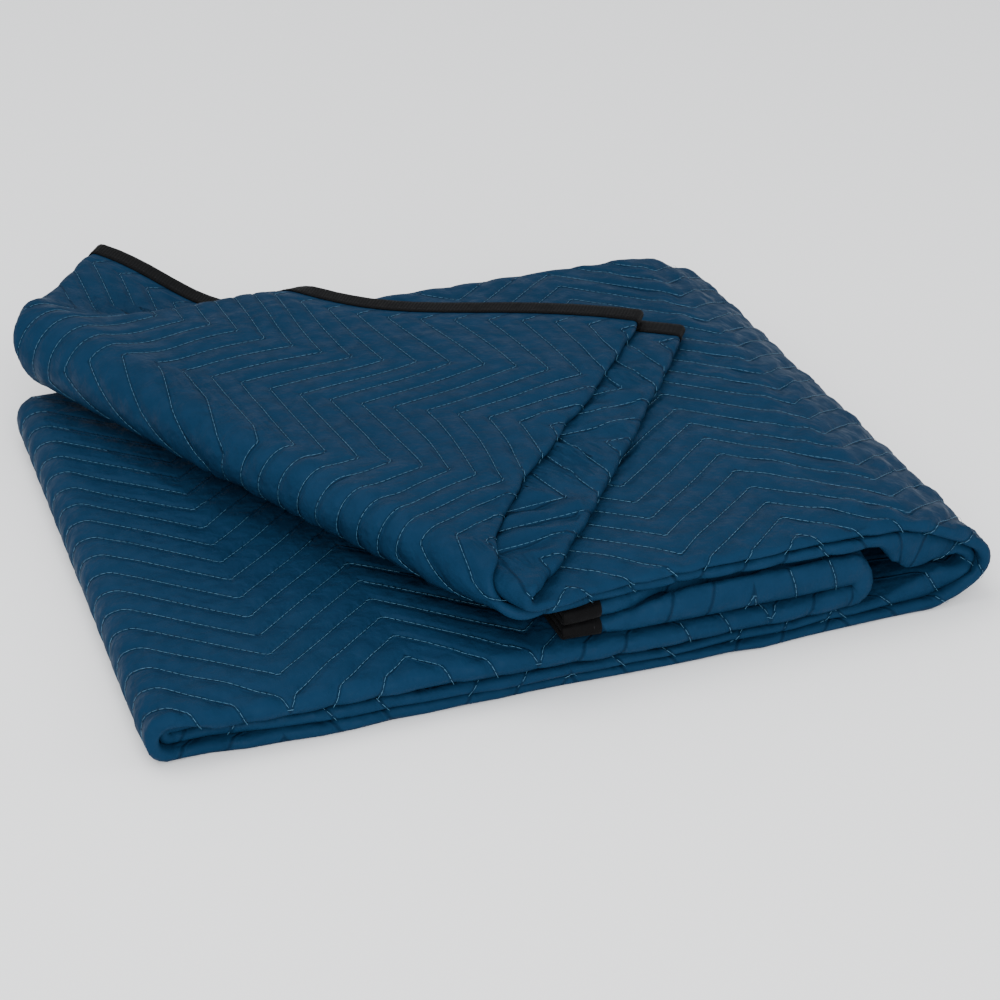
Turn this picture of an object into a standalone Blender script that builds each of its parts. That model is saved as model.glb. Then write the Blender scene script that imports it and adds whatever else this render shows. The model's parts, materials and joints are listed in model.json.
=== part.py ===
"""Folded moving blanket: a quilted cloth with a bound edge, as closed solids.

The cloth is first folded across its width into a strip of four layers: both
side edges lie inside at the back, so the front shows two loops and the back
one nested fold. The strip is then laid back and forth and wrapped once round
itself, and its end is turned over obliquely as a flap on top of the pile.

A point of the cloth has three numbers. along: distance from the inner end of
the strip. across: signed distance from the back fold. lift: height above the
cloth's middle surface. Lengths are in millimetres until the mesh is made.
"""

import math

import bmesh
import bpy
from mathutils import Vector
from mathutils.geometry import delaunay_2d_cdt

# Cloth and layers
METRES = 0.001
PITCH = 4.4
THICKNESS = 3.4
STRIP_DEPTH = 441.0
INNER_DEPTH = STRIP_DEPTH - 3.5
FRONT_Y = -68.0
LOOP_RADIUS = 0.5 * PITCH
BACK_RADIUS = 1.5 * PITCH
HALF_CLOTH = 0.5 * THICKNESS

# Quilting
ROW_SPACING = 24.0
ZIGZAG_HEIGHT = 67.0
ZIGZAG_PERIOD = 158.0
TOP_CORNER_X = 259.8
RELIEF = 2.0

# Where the relief fades: at a layer's edges, beside what covers it, at the binding
EDGE_MARGIN = 4.0
EDGE_FADE = 10.0
COVER_FADE = 20.0
BINDING_FADE = 4.0
NOSE_FADE = 30.0
FLAP_MARGIN = 8.0
FLAP_FADE = 16.0
FADE_START = 0.3
FADE_SPAN = 0.4

# How far the relief runs on below the roll: everywhere, more at the front, and its reach
BELOW_ROLL = 4.0
BELOW_ROLL_FRONT = 50.0
BELOW_ROLL_REACH = 250.0
BELOW_ROLL_FADE = 14.0
ROLL_HIDDEN_ARCS = 1.2

# Binding tape, folded over each end of the cloth
BINDING_WIDTH = 25.0
BINDING_TAPE = 0.5
BINDING_GAP = 0.3
BOUND_HALF_CLOTH = 1.0
BINDING_TAPER = 6.0

# Levels of the strip's middle, in layers above the floor
INNER_RUN_LEVEL = 10.0 * PITCH
TOP_LEVEL = 14.0 * PITCH
TURN_RADIUS = 2.0 * PITCH
FLOOR_SHIFT = LOOP_RADIUS - HALF_CLOTH

# Plan places of the strip
INNER_END_X = 176.0
INNER_NOSE_X = 374.4
LEFT_TURN_X = -70.4
RIGHT_RAMP_X = 424.3
FLAP_LENGTH = 392.0

# Oblique fold: a point of its line at the front, its direction, the roll
FOLD_POINT = (134.0, -66.0)
FOLD_DIRECTION_DEG = 116.6
FOLD_SPAN = 500.0
ROLL_DIP_DEG = (2.0, 24.0)
ROLL_RISE_DEG = (2.0, 20.0)
ROLL_IN_RADIUS = 150.0
ROLL_OUT_RADIUS = 120.0
FLAP_LIFT = 1.5

# Flap drawn in at its front and at its back, and left side drawn in at the back
FLAP_FRONT_IN = 9.0
FLAP_BACK_IN = -2.0
FLAP_MIDDLE_IN = 42.0
FLAP_MIDDLE = 201.0
FLAP_MIDDLE_WIDTH = 110.0
FLAP_MIDDLE_REACH = 330.0
FLAP_ENDS_REACH = 160.0
LEFT_BACK_IN = 15.0
LEFT_REACH_X = 200.0
LEFT_REACH = 290.0

# Flap drooping behind the pile
DROOP_DEPTH = 42.0
DROOP_CENTRE = 292.0
DROOP_HALF_WIDTH = 118.0
DROOP_START_Y = 390.0
DROOP_RUN = 105.0

# Inner layer sagging into the hollow at the right end, near the front
SAGS = (
    # distance along the strip, sag
    (1168.0, 0.0),
    (1185.0, 6.0),
    (1200.0, 9.0),
    (1215.0, 8.0),
    (1234.0, 0.0),
    (1262.0, 0.0),
    (1275.0, 9.0),
    (1290.0, 15.0),
    (1301.0, 17.0),
    (1314.0, 12.0),
    (1332.0, 0.0),
)
SAG_DEPTH = 190.0
SAG_STATIONS = (1168.0, 1184.0)
SAG_LAST_STATION = 1335.0

# Middle of the whole shape's box, moved to the origin
BOX_CENTRE = (194.15, 218.75)

# Cells of the grid: across each layer, round the folds, and along the top and flap
FLAT_CELLS = 5
BACK_CELLS = 3
LOOP_CELLS = 4
TOP_CELLS = 4
ROLL_CELLS = (2, 8, 2)
FLAP_CELLS = 6

HALF_TURN = 0.5 * math.pi * TURN_RADIUS * 2.0

# Path of the strip seen from the front, from its inner end to the oblique fold
PATH_ROWS = (
    # name, length, turn in degrees, cells
    ("inner run", INNER_NOSE_X - INNER_END_X, 0.0, 3),
    ("inner nose", HALF_TURN, -180.0, 6),
    ("outer run", INNER_NOSE_X - LEFT_TURN_X, 0.0, 7),
    ("left turn", HALF_TURN, 180.0, 6),
    ("bottom run", RIGHT_RAMP_X - LEFT_TURN_X, 0.0, 5),
    ("ramp", 29.3, 28.0, 2),
    ("ramp straight", 10.0, 0.0, 1),
    ("right nose", 24.5, 122.0, 6),
    ("slope", 16.6, 0.0, 1),
    ("top shoulder", 50.0, 30.0, 3),
)

# Shift of the two front loops towards the back, by distance along the strip
LOOP_SHIFTS = (
    # along, loops on the outside of the wrap, loops on its inside
    (0.0, 1.0, 0.0),
    (113.0, -1.5, 2.0),
    (223.0, 2.5, 3.0),
    (443.0, -1.0, 1.5),
    (583.0, 2.0, -1.5),
    (663.0, 1.0, 3.0),
    (713.0, 6.0, 12.0),
    (783.0, 0.5, 2.5),
    (923.0, 1.5, -1.0),
    (1063.0, -1.0, 2.0),
    (1193.0, 2.5, 5.0),
    (1258.0, 1.0, 7.0),
    (1353.0, 3.0, 0.0),
    (1503.0, 0.0, 3.0),
    (1568.0, -8.0, 0.0),
    (1663.0, -31.0, 0.0),
    (1783.0, -35.0, 1.5),
    (1983.0, -32.0, 0.0),
)


def smooth_step(value):
    """Value held between 0 and 1, easing at both ends."""
    value = min(1.0, max(0.0, value))
    return value * value * (3.0 - 2.0 * value)


def mix(first, second, share):
    return first + (second - first) * share


def arc_point(start, length, turn, distance):
    """Point and heading at a distance along one arc or straight of a path."""
    x, z, heading = start
    rate = turn / length
    if abs(rate) < 1e-9:
        return x + distance * math.cos(heading), z + distance * math.sin(heading), heading
    end = heading + rate * distance
    radius = 1.0 / rate
    return (x + radius * (math.sin(end) - math.sin(heading)),
            z - radius * (math.cos(end) - math.cos(heading)), end)


def path_pieces():
    """Pieces of the strip's path: name, start distance, start state, length, turn, cells."""
    state = (INNER_END_X, INNER_RUN_LEVEL, 0.0)
    start = 0.0
    pieces = []
    for name, length, turn_deg, cells in PATH_ROWS:
        turn = math.radians(turn_deg)
        pieces.append((name, start, state, length, turn, cells))
        state = arc_point(state, length, turn, length)
        start += length
    return pieces, start, state


PIECES, TOP_START, TOP_STATE = path_pieces()
TOP_X = TOP_STATE[0]
FOLD_ANGLE = math.radians(FOLD_DIRECTION_DEG)
FOLD_LINE = (math.cos(FOLD_ANGLE), math.sin(FOLD_ANGLE))
FOLD_ACROSS = (-math.sin(FOLD_ANGLE), math.cos(FOLD_ANGLE))
STRIP_LENGTH = TOP_START + TOP_X - FOLD_POINT[0] + FLAP_LENGTH
BACK_QUARTER = 0.5 * math.pi * BACK_RADIUS
LOOP_LENGTH = math.pi * LOOP_RADIUS
LOOP_START = BACK_QUARTER + STRIP_DEPTH
LOOP_END = LOOP_START + LOOP_LENGTH
HALF_WIDTH = LOOP_END + INNER_DEPTH


def loop_shift(along, outside):
    """Shift of a front loop at a distance along the strip."""
    column = 1 if outside else 2
    rows = LOOP_SHIFTS
    if along <= rows[0][0]:
        return rows[0][column]
    for before, after in zip(rows, rows[1:]):
        if along <= after[0]:
            share = smooth_step((along - before[0]) / (after[0] - before[0]))
            return mix(before[column], after[column], share)
    return rows[-1][column]


def sag(along, across):
    """How far the inner layer sags into the hollow at the right end."""
    if across <= 0.0 or not SAGS[0][0] < along < SAGS[-1][0]:
        return 0.0
    fade = 1.0 - smooth_step(max(0.0, LOOP_START - across) / SAG_DEPTH)
    for before, after in zip(SAGS, SAGS[1:]):
        if along <= after[0]:
            share = smooth_step((along - before[0]) / (after[0] - before[0]))
            return mix(before[1], after[1], share) * fade
    return 0.0


def shifted_depth(depth, front):
    """Depth of a point once the front loop has moved."""
    first_cell = STRIP_DEPTH / FLAT_CELLS
    if depth < first_cell:
        return mix(front, first_cell, depth / first_cell)
    return depth


def section(along, across, lift):
    """Depth in the strip and offset from its middle, of a point of the cloth."""
    side = -1.0 if across < 0.0 else 1.0
    distance = abs(across)
    front = loop_shift(along, side < 0.0)
    sagging = sag(along, across)
    if distance <= BACK_QUARTER:
        angle = distance / BACK_RADIUS
        radius = BACK_RADIUS + lift
        return STRIP_DEPTH + radius * math.cos(angle), side * radius * math.sin(angle)
    if distance <= LOOP_START:
        depth = shifted_depth(LOOP_START - distance, front)
        return depth, side * (BACK_RADIUS + lift + sagging)
    if distance <= LOOP_END:
        angle = (distance - LOOP_START) / LOOP_RADIUS
        radius = LOOP_RADIUS + lift
        offset = PITCH + 0.5 * sagging + (radius + 0.5 * sagging) * math.cos(angle)
        return front - radius * math.sin(angle), side * offset
    depth = shifted_depth(distance - LOOP_END, front)
    return depth, side * (LOOP_RADIUS - lift)


def roll_profile(line_place):
    """Arcs of the roll at a place along the fold line, and where they start."""
    share = min(1.0, max(0.0, (line_place + 10.0) / FOLD_SPAN))
    dip = math.radians(mix(*ROLL_DIP_DEG, share))
    rise = math.radians(mix(*ROLL_RISE_DEG, share))
    drop_in = ROLL_IN_RADIUS * (1.0 - math.cos(dip))
    drop_out = ROLL_OUT_RADIUS * (1.0 - math.cos(rise))
    gap = 4.0 * PITCH + FLAP_LIFT + drop_in + drop_out
    radius = gap / (math.cos(dip) + math.cos(rise))
    arcs = (
        (ROLL_IN_RADIUS * dip, -dip),
        (radius * (math.pi + dip + rise), math.pi + dip + rise),
        (ROLL_OUT_RADIUS * rise, -rise),
    )
    total = sum(length for length, turn in arcs)
    advance = ((ROLL_IN_RADIUS * math.sin(dip)) + radius * (math.sin(dip) - math.sin(rise))
               - ROLL_OUT_RADIUS * math.sin(rise))
    return arcs, -0.5 * (total + advance), total


def roll_point(distance, line_place, up):
    """Distance across the fold line and height of a point, after the fold."""
    arcs, start, total = roll_profile(line_place)
    if distance <= start:
        return distance, up
    state = (start, 0.0, 0.0)
    passed = start
    for length, turn in arcs:
        if distance <= passed + length:
            state = arc_point(state, length, turn, distance - passed)
            break
        state = arc_point(state, length, turn, length)
        passed += length
    else:
        rest = distance - passed
        state = (state[0] - rest, state[1], state[2])
    place, height, heading = state
    return place - up * math.sin(heading), height + up * math.cos(heading)


def droop(depth, y):
    """Height that the flap loses behind the back of the pile."""
    middle = math.exp(-((depth - DROOP_CENTRE) / DROOP_HALF_WIDTH) ** 2)
    return DROOP_DEPTH * middle * smooth_step((y - DROOP_START_Y) / DROOP_RUN)


def drawn_in(x, y, z):
    """Point moved to the right where the left side is drawn in towards the back."""
    back = max(0.0, (y - FRONT_Y) / STRIP_DEPTH)
    left = smooth_step((LEFT_REACH_X - x) / LEFT_REACH)
    return x + LEFT_BACK_IN * back * left, y, z


def place_strip(along, depth, offset):
    """Point in space from a distance along the strip, a depth and an offset."""
    if along <= TOP_START:
        for name, start, state, length, turn, cells in PIECES:
            if along <= start + length:
                break
        x, z, heading = arc_point(state, length, turn, along - start)
        return drawn_in(x - offset * math.sin(heading), FRONT_Y + depth,
                        z + offset * math.cos(heading))
    x = TOP_X - (along - TOP_START)
    dx = x - FOLD_POINT[0]
    dy = FRONT_Y + depth - FOLD_POINT[1]
    line_place = dx * FOLD_LINE[0] + dy * FOLD_LINE[1]
    distance = dx * FOLD_ACROSS[0] + dy * FOLD_ACROSS[1]
    middle = math.exp(-((depth - FLAP_MIDDLE) / FLAP_MIDDLE_WIDTH) ** 2)
    dx += FLAP_MIDDLE_IN * middle * smooth_step(distance / FLAP_MIDDLE_REACH)
    drawn = smooth_step(distance / FLAP_ENDS_REACH)
    dy += drawn * (FLAP_FRONT_IN - (FLAP_FRONT_IN + FLAP_BACK_IN) * depth / STRIP_DEPTH)
    line_place = dx * FOLD_LINE[0] + dy * FOLD_LINE[1]
    distance = dx * FOLD_ACROSS[0] + dy * FOLD_ACROSS[1]
    beyond, height = roll_point(distance, line_place, -offset)
    x = FOLD_POINT[0] + line_place * FOLD_LINE[0] + beyond * FOLD_ACROSS[0]
    y = FOLD_POINT[1] + line_place * FOLD_LINE[1] + beyond * FOLD_ACROSS[1]
    z = TOP_LEVEL + height
    if distance > 0.0:
        z -= droop(depth, y)
    return drawn_in(x, y, z)


def to_frame(point):
    """Point in metres, in the frame of the finished object."""
    x, y, z = point
    return Vector(((x - BOX_CENTRE[0]) * METRES, (y - BOX_CENTRE[1]) * METRES,
                   (z - FLOOR_SHIFT) * METRES))


def cloth_point(along, across, lift):
    depth, offset = section(along, across, lift)
    return to_frame(place_strip(along, depth, offset))


def across_lines():
    """Lines across one half of the cloth: distance, depth, and the way of the diagonals."""
    lines = []
    for cell in range(BACK_CELLS):
        lines.append((BACK_QUARTER * cell / BACK_CELLS, STRIP_DEPTH, True))
    for cell in range(FLAT_CELLS):
        share = cell / FLAT_CELLS
        lines.append((BACK_QUARTER + STRIP_DEPTH * share, STRIP_DEPTH * (1.0 - share), True))
    for cell in range(LOOP_CELLS):
        lines.append((LOOP_START + LOOP_LENGTH * cell / LOOP_CELLS, 0.0, True))
    for cell in range(FLAT_CELLS):
        depth = STRIP_DEPTH * cell / FLAT_CELLS
        lines.append((LOOP_END + depth, depth, False))
    lines.append((HALF_WIDTH, INNER_DEPTH, False))
    return lines


def fold_along(depth, share_of_arcs):
    """Distance along the strip where a share of the roll's arcs is reached."""
    line_place = (FRONT_Y + depth - FOLD_POINT[1]) / FOLD_LINE[1]
    distance = 0.0
    for repeat in range(6):
        arcs, start, total = roll_profile(line_place)
        piece = min(int(share_of_arcs), 2)
        distance = start + sum(length for length, turn in arcs[:piece])
        distance += arcs[piece][0] * (share_of_arcs - piece)
        line_place = ((FRONT_Y + depth - FOLD_POINT[1] - distance * FOLD_ACROSS[1])
                      / FOLD_LINE[1])
    x = FOLD_POINT[0] + line_place * FOLD_LINE[0] + distance * FOLD_ACROSS[0]
    return TOP_START + TOP_X - x


def station_functions():
    """Stations along the strip, each giving a distance along for a depth."""
    stations = []

    def level(value):
        stations.append(lambda depth: value)

    level(0.0)
    level(BINDING_WIDTH)
    level(BINDING_WIDTH + BINDING_TAPER)
    for name, start, state, length, turn, cells in PIECES:
        for cell in range(cells):
            value = start + length * cell / cells
            if value > BINDING_WIDTH + 2.0 * BINDING_TAPER:
                level(value)
        if name == "bottom run":
            for value in SAG_STATIONS:
                level(value)
    for cell in range(TOP_CELLS):
        share = cell / TOP_CELLS
        stations.append(lambda depth, share=share: mix(TOP_START, fold_along(depth, 0.0), share))
        if cell == 0:
            level(SAG_LAST_STATION)
    for piece, cells in enumerate(ROLL_CELLS):
        for cell in range(cells):
            place = piece + cell / cells
            stations.append(lambda depth, place=place: fold_along(depth, place))
    last = STRIP_LENGTH - BINDING_WIDTH - BINDING_TAPER
    for cell in range(FLAP_CELLS):
        share = cell / FLAP_CELLS
        stations.append(lambda depth, share=share: mix(fold_along(depth, 3.0), last, share))
    level(last)
    level(last + BINDING_TAPER)
    level(STRIP_LENGTH)
    return stations


# Quilting: zigzag rows that are raised between the lines of stitches

OUTER_CORNER = PIECES[2][1] + INNER_NOSE_X
TOP_CORNER = TOP_START + TOP_X - TOP_CORNER_X

# Corners of the zigzag nearest the front, on the faces that show
PATTERN_PLACES = (
    # side, along of one corner, depth of one row there, first along, last along
    (-1.0, OUTER_CORNER, 68.0, OUTER_CORNER - 170.0, OUTER_CORNER + 140.0),
    (-1.0, TOP_CORNER, 131.0, TOP_CORNER - 320.0, TOP_CORNER + 220.0),
    (1.0, STRIP_LENGTH - 112.0, 10.0, TOP_CORNER + 80.0, STRIP_LENGTH),
)


def zigzag(steps):
    """Height of the zigzag between 0 at a front corner and 1 at a back corner."""
    part = steps - math.floor(steps)
    return 1.0 - abs(2.0 * part - 1.0)


def pattern_row(place, along, across):
    """Row number, whole on a line of stitches, at a point of one face."""
    side, corner, row_depth, first, last = place
    unrolled = BACK_QUARTER + STRIP_DEPTH - abs(across)
    rise = ZIGZAG_HEIGHT * zigzag((along - corner) / ZIGZAG_PERIOD)
    return (unrolled - row_depth - rise) / ROW_SPACING


FLAP_TURN = math.radians(2.0 * FOLD_DIRECTION_DEG - 180.0)
FLAP_WAY = (math.cos(FLAP_TURN), math.sin(FLAP_TURN))
FLAP_SIDE = (math.sin(FLAP_TURN), -math.cos(FLAP_TURN))
FLAP_CORNER = place_strip(STRIP_LENGTH, -38.0, 0.0)


def exposed(side, along, across):
    """How far a point of the outer face is open to view, from 0 to 1."""
    distance = abs(across)
    depth = BACK_QUARTER + STRIP_DEPTH - distance
    if distance < BACK_QUARTER or depth < 0.0:
        return 0.0
    front = smooth_step((depth + EDGE_MARGIN) / EDGE_FADE)
    ends = front * smooth_step((STRIP_DEPTH - depth + EDGE_MARGIN) / EDGE_FADE)
    if side > 0.0:
        after = smooth_step((along - fold_along(depth, ROLL_HIDDEN_ARCS)) / COVER_FADE)
        bound = STRIP_LENGTH - BINDING_WIDTH - BINDING_TAPER
        return ends * after * smooth_step((bound - along) / BINDING_FADE)
    y = FRONT_Y + depth
    if along < TOP_START:
        left, right = PIECES[2], PIECES[8]
        if along > right[1]:
            return ends * smooth_step((along - right[1]) / NOSE_FADE)
        if along < left[1] or along > left[1] + left[3]:
            return 0.0
        x = INNER_NOSE_X - (along - left[1])
        outside = ((x - FOLD_POINT[0]) * FOLD_ACROSS[0] + (y - FOLD_POINT[1]) * FOLD_ACROSS[1])
        under = BELOW_ROLL + BELOW_ROLL_FRONT * max(0.0, 1.0 - depth / BELOW_ROLL_REACH)
        covered = smooth_step((outside + under) / BELOW_ROLL_FADE)
        return ends * covered * smooth_step((x - LEFT_TURN_X) / COVER_FADE)
    x = TOP_X - (along - TOP_START)
    aside = (x - FLAP_CORNER[0]) * FLAP_SIDE[0] + (y - FLAP_CORNER[1]) * FLAP_SIDE[1]
    past = (x - FLAP_CORNER[0]) * FLAP_WAY[0] + (y - FLAP_CORNER[1]) * FLAP_WAY[1]
    open_way = max(smooth_step((aside - FLAP_MARGIN) / FLAP_FADE),
                   smooth_step((past - FLAP_MARGIN) / FLAP_FADE))
    return ends * open_way * smooth_step((fold_along(depth, 0.0) - along) / COVER_FADE)


def relief(along, across):
    """Height of the outer face above the lines of stitches."""
    side = -1.0 if across < 0.0 else 1.0
    for place in PATTERN_PLACES:
        if place[0] == side and place[3] <= along <= place[4]:
            part = pattern_row(place, along, across)
            part -= math.floor(part)
            crest = 1.0 - abs(2.0 * part - 1.0)
            shown = smooth_step((exposed(side, along, across) - FADE_START) / FADE_SPAN)
            return RELIEF * crest * shown
    return 0.0


def quilting_segments():
    """Short pieces of stitch lines and crests on the faces that show."""
    segments = []
    step = ZIGZAG_PERIOD / 4.0
    for place in PATTERN_PLACES:
        side, corner, row_depth, first, last = place
        lowest = math.ceil((first - corner) / step)
        highest = math.floor((last - corner) / step)
        for half_row in range(-14, 44):
            row = 0.5 * half_row
            points = []
            for count in range(lowest, highest + 1):
                along = corner + count * step
                depth = (row_depth + row * ROW_SPACING
                         + ZIGZAG_HEIGHT * zigzag((along - corner) / ZIGZAG_PERIOD))
                across = side * (BACK_QUARTER + STRIP_DEPTH - depth)
                points.append((along, across, exposed(side, along, across)
                               if 0.0 < depth < STRIP_DEPTH else 0.0))
            for first_point, second_point in zip(points, points[1:]):
                if first_point[2] > 0.3 and second_point[2] > 0.3:
                    segments.append((first_point[:2], second_point[:2]))
    return segments


def cloth_face(with_quilting):
    """Flat triangles of one face of the cloth: points (along, across) and triangles."""
    half = across_lines()
    lines = [(-distance, depth, way) for distance, depth, way in reversed(half[1:])]
    lines = lines + half
    stations = station_functions()
    points = []
    for distance, depth, way in lines:
        points += [(station(depth), distance) for station in stations]
    count = len(stations)
    edges = []
    for row in range(len(lines)):
        for column in range(count):
            here = row * count + column
            if column + 1 < count:
                edges.append((here, here + 1))
            if row + 1 < len(lines):
                edges.append((here, here + count))
                if column + 1 < count:
                    falling = lines[row][1] >= lines[row + 1][1]
                    if falling:
                        edges.append((here + 1, here + count))
                    else:
                        edges.append((here, here + count + 1))
    if with_quilting:
        for first, second in quilting_segments():
            edges.append((len(points), len(points) + 1))
            points += [first, second]
    result = delaunay_2d_cdt([Vector(point) for point in points], edges, [], 0, 1e-3)
    return [tuple(point) for point in result[0]], [tuple(face) for face in result[2]]


def outline_edges(faces):
    """Edges that belong to one triangle only, with their direction."""
    directed = set()
    for face in faces:
        for first, second in zip(face, face[1:] + face[:1]):
            directed.add((first, second))
    return [edge for edge in directed if (edge[1], edge[0]) not in directed]


def half_thickness(along):
    """Half the cloth's thickness: pressed thin inside the binding."""
    from_end = min(along, STRIP_LENGTH - along)
    share = smooth_step((from_end - BINDING_WIDTH) / BINDING_TAPER)
    return mix(BOUND_HALF_CLOTH, HALF_CLOTH, share)


def add_object(name, mesh_builder, finish, collection):
    """Object from a bmesh, with its material, shaded smooth."""
    bmesh.ops.recalc_face_normals(mesh_builder, faces=mesh_builder.faces)
    mesh = bpy.data.meshes.new(name)
    mesh_builder.to_mesh(mesh)
    mesh_builder.free()
    mesh.materials.append(finish)
    for polygon in mesh.polygons:
        polygon.use_smooth = True
    body = bpy.data.objects.new(name, mesh)
    collection.objects.link(body)
    return body


def material(name, colour, roughness, metallic):
    finish = bpy.data.materials.new(name)
    finish.use_nodes = True
    shader = finish.node_tree.nodes["Principled BSDF"]
    shader.inputs["Base Color"].default_value = (*colour, 1.0)
    shader.inputs["Roughness"].default_value = roughness
    shader.inputs["Metallic"].default_value = metallic
    finish.diffuse_color = (*colour, 1.0)
    return finish


def build_cloth(collection):
    """The quilted cloth: outer face, inner face, and the rim between them."""
    outer_points, outer_faces = cloth_face(True)
    inner_points, inner_faces = cloth_face(False)
    builder = bmesh.new()
    outer = [builder.verts.new(cloth_point(along, across, half_thickness(along)
                                           + relief(along, across)))
             for along, across in outer_points]
    inner = [builder.verts.new(cloth_point(along, across, -half_thickness(along)))
             for along, across in inner_points]
    for face in outer_faces:
        builder.faces.new([outer[index] for index in face])
    for face in inner_faces:
        builder.faces.new([inner[index] for index in reversed(face)])
    same_place = {(round(along, 1), round(across, 1)): index
                  for index, (along, across) in enumerate(inner_points)}
    for first, second in outline_edges(outer_faces):
        keys = [(round(outer_points[index][0], 1), round(outer_points[index][1], 1))
                for index in (first, second)]
        below = [inner[same_place[key]] for key in keys]
        builder.faces.new([outer[second], outer[first], below[0], below[1]])
    blue = material("blue quilted cloth", (0.011, 0.054, 0.120), 0.75, 0.0)
    return add_object("quilted_cloth", builder, blue, collection)


def build_binding(name, end, way, finish, collection):
    """Tape folded over one end of the cloth, from side to side."""
    inside = BOUND_HALF_CLOTH + BINDING_GAP
    outside = inside + BINDING_TAPE
    reach = BINDING_GAP + BINDING_TAPE
    profile = (
        # distance beyond the cloth's end, lift
        (-BINDING_WIDTH, outside),
        (reach, outside),
        (reach, -outside),
        (-BINDING_WIDTH, -outside),
        (-BINDING_WIDTH, -inside),
        (BINDING_GAP, -inside),
        (BINDING_GAP, inside),
        (-BINDING_WIDTH, inside),
    )
    half = across_lines()
    lines = [(-distance, depth) for distance, depth, falling in reversed(half[1:])]
    lines += [(distance, depth) for distance, depth, falling in half]
    builder = bmesh.new()
    rings = []
    for across, depth in lines:
        ring = []
        for beyond, lift in profile:
            edge = cloth_point(end, across, lift)
            back = cloth_point(end - way * BINDING_WIDTH, across, lift)
            ring.append(builder.verts.new(edge + (edge - back) * (beyond / BINDING_WIDTH)))
        rings.append(ring)
    count = len(profile)
    for row in range(len(lines) - 1):
        ring, following = rings[row], rings[row + 1]
        falling = lines[row][1] >= lines[row + 1][1]
        for index in range(count):
            after = (index + 1) % count
            outwards = (profile[after][0] - profile[index][0]) * way > 0.0
            if falling == outwards:
                builder.faces.new([ring[index], ring[after], following[index]])
                builder.faces.new([ring[after], following[after], following[index]])
            else:
                builder.faces.new([ring[index], ring[after], following[after]])
                builder.faces.new([ring[index], following[after], following[index]])
    for ring in (rings[0], rings[-1]):
        builder.faces.new([ring[0], ring[1], ring[6], ring[7]])
        builder.faces.new([ring[1], ring[2], ring[5], ring[6]])
        builder.faces.new([ring[2], ring[3], ring[4], ring[5]])
    return add_object(name, builder, finish, collection)


def main():
    for old in list(bpy.data.objects):
        bpy.data.objects.remove(old, do_unlink=True)
    collection = bpy.data.collections.new("moving_blanket")
    bpy.context.scene.collection.children.link(collection)
    black = material("black binding tape", (0.010, 0.010, 0.012), 0.7, 0.0)
    build_cloth(collection)
    build_binding("binding_inner_end", 0.0, -1.0, black, collection)
    build_binding("binding_flap_end", STRIP_LENGTH, 1.0, black, collection)


main()
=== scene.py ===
"""Moving blanket folded into a pile, its bound end turned over as a flap, in a small studio."""

import json
import logging
import math
from collections.abc import Callable
from dataclasses import dataclass
from enum import Enum, IntEnum

import bpy
import numpy as np
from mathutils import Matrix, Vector

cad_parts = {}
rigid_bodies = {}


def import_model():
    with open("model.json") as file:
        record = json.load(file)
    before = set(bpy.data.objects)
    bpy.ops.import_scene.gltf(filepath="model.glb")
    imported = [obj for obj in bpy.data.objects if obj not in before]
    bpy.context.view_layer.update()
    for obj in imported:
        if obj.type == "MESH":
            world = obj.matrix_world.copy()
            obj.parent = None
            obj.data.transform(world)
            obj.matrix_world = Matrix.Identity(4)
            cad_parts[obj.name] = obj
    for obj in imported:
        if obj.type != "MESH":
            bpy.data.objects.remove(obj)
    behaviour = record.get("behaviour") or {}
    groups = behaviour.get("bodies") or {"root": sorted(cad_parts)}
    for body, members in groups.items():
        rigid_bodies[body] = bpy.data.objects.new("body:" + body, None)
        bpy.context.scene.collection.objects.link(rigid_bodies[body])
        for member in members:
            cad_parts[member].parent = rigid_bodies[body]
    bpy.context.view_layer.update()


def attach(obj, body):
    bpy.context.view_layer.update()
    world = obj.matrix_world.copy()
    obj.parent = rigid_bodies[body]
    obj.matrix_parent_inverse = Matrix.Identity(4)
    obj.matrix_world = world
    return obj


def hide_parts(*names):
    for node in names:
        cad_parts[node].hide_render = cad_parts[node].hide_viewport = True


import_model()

LOG = logging.getLogger("moving_blanket")
METRES = 0.001
FLOOR_GAP = 0.0002
STRAIGHT = 1e-9
FOLD_ROUNDS = 6

Array = np.ndarray
Pair = tuple[float, float]
Triple = tuple[float, float, float]
Colour = Triple
Station = Callable[[Array], Array]


class Slot(Enum):
    """The record's material slots."""

    CLOTH = "quilted_cloth"
    TAPE = "binding_tape"


class Run(IntEnum):
    """Straight and bent lengths of the wrapped strip, from its inner end to the top layer."""

    INNER = 0
    INNER_NOSE = 1
    OUTER = 2
    LEFT_TURN = 3
    FLOOR = 4
    RAMP = 5
    RIGHT_FOOT = 6
    RIGHT_TURN = 7
    RIGHT_SLOPE = 8
    RIGHT_TOP = 9


def smooth(value: Array) -> Array:
    """Smooth step from 0 to 1."""
    held = np.clip(value, 0.0, 1.0)
    return held * held * (3.0 - 2.0 * held)


def ramp_up(value: Array, start: Array, run: float) -> Array:
    """Smooth step from 0 at a start to 1 one run beyond it."""
    return smooth((value - start) / run)


def ramp_down(value: Array, end: Array, run: float) -> Array:
    """Smooth step from 1 one run before an end to 0 at it."""
    return smooth((end - value) / run)


def mix(first: Array, second: Array, share: Array) -> Array:
    """Value between two others."""
    return first + (second - first) * share


def table_value(rows: tuple, column: int, along: Array) -> Array:
    """Smooth value of one column of a table at distances along the strip."""
    table = np.array(rows)
    row = np.clip(np.searchsorted(table[:, 0], along, side="right") - 1, 0, len(table) - 2)
    share = smooth((along - table[row, 0]) / (table[row + 1, 0] - table[row, 0]))
    return mix(table[row, column], table[row + 1, column], share)


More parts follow.
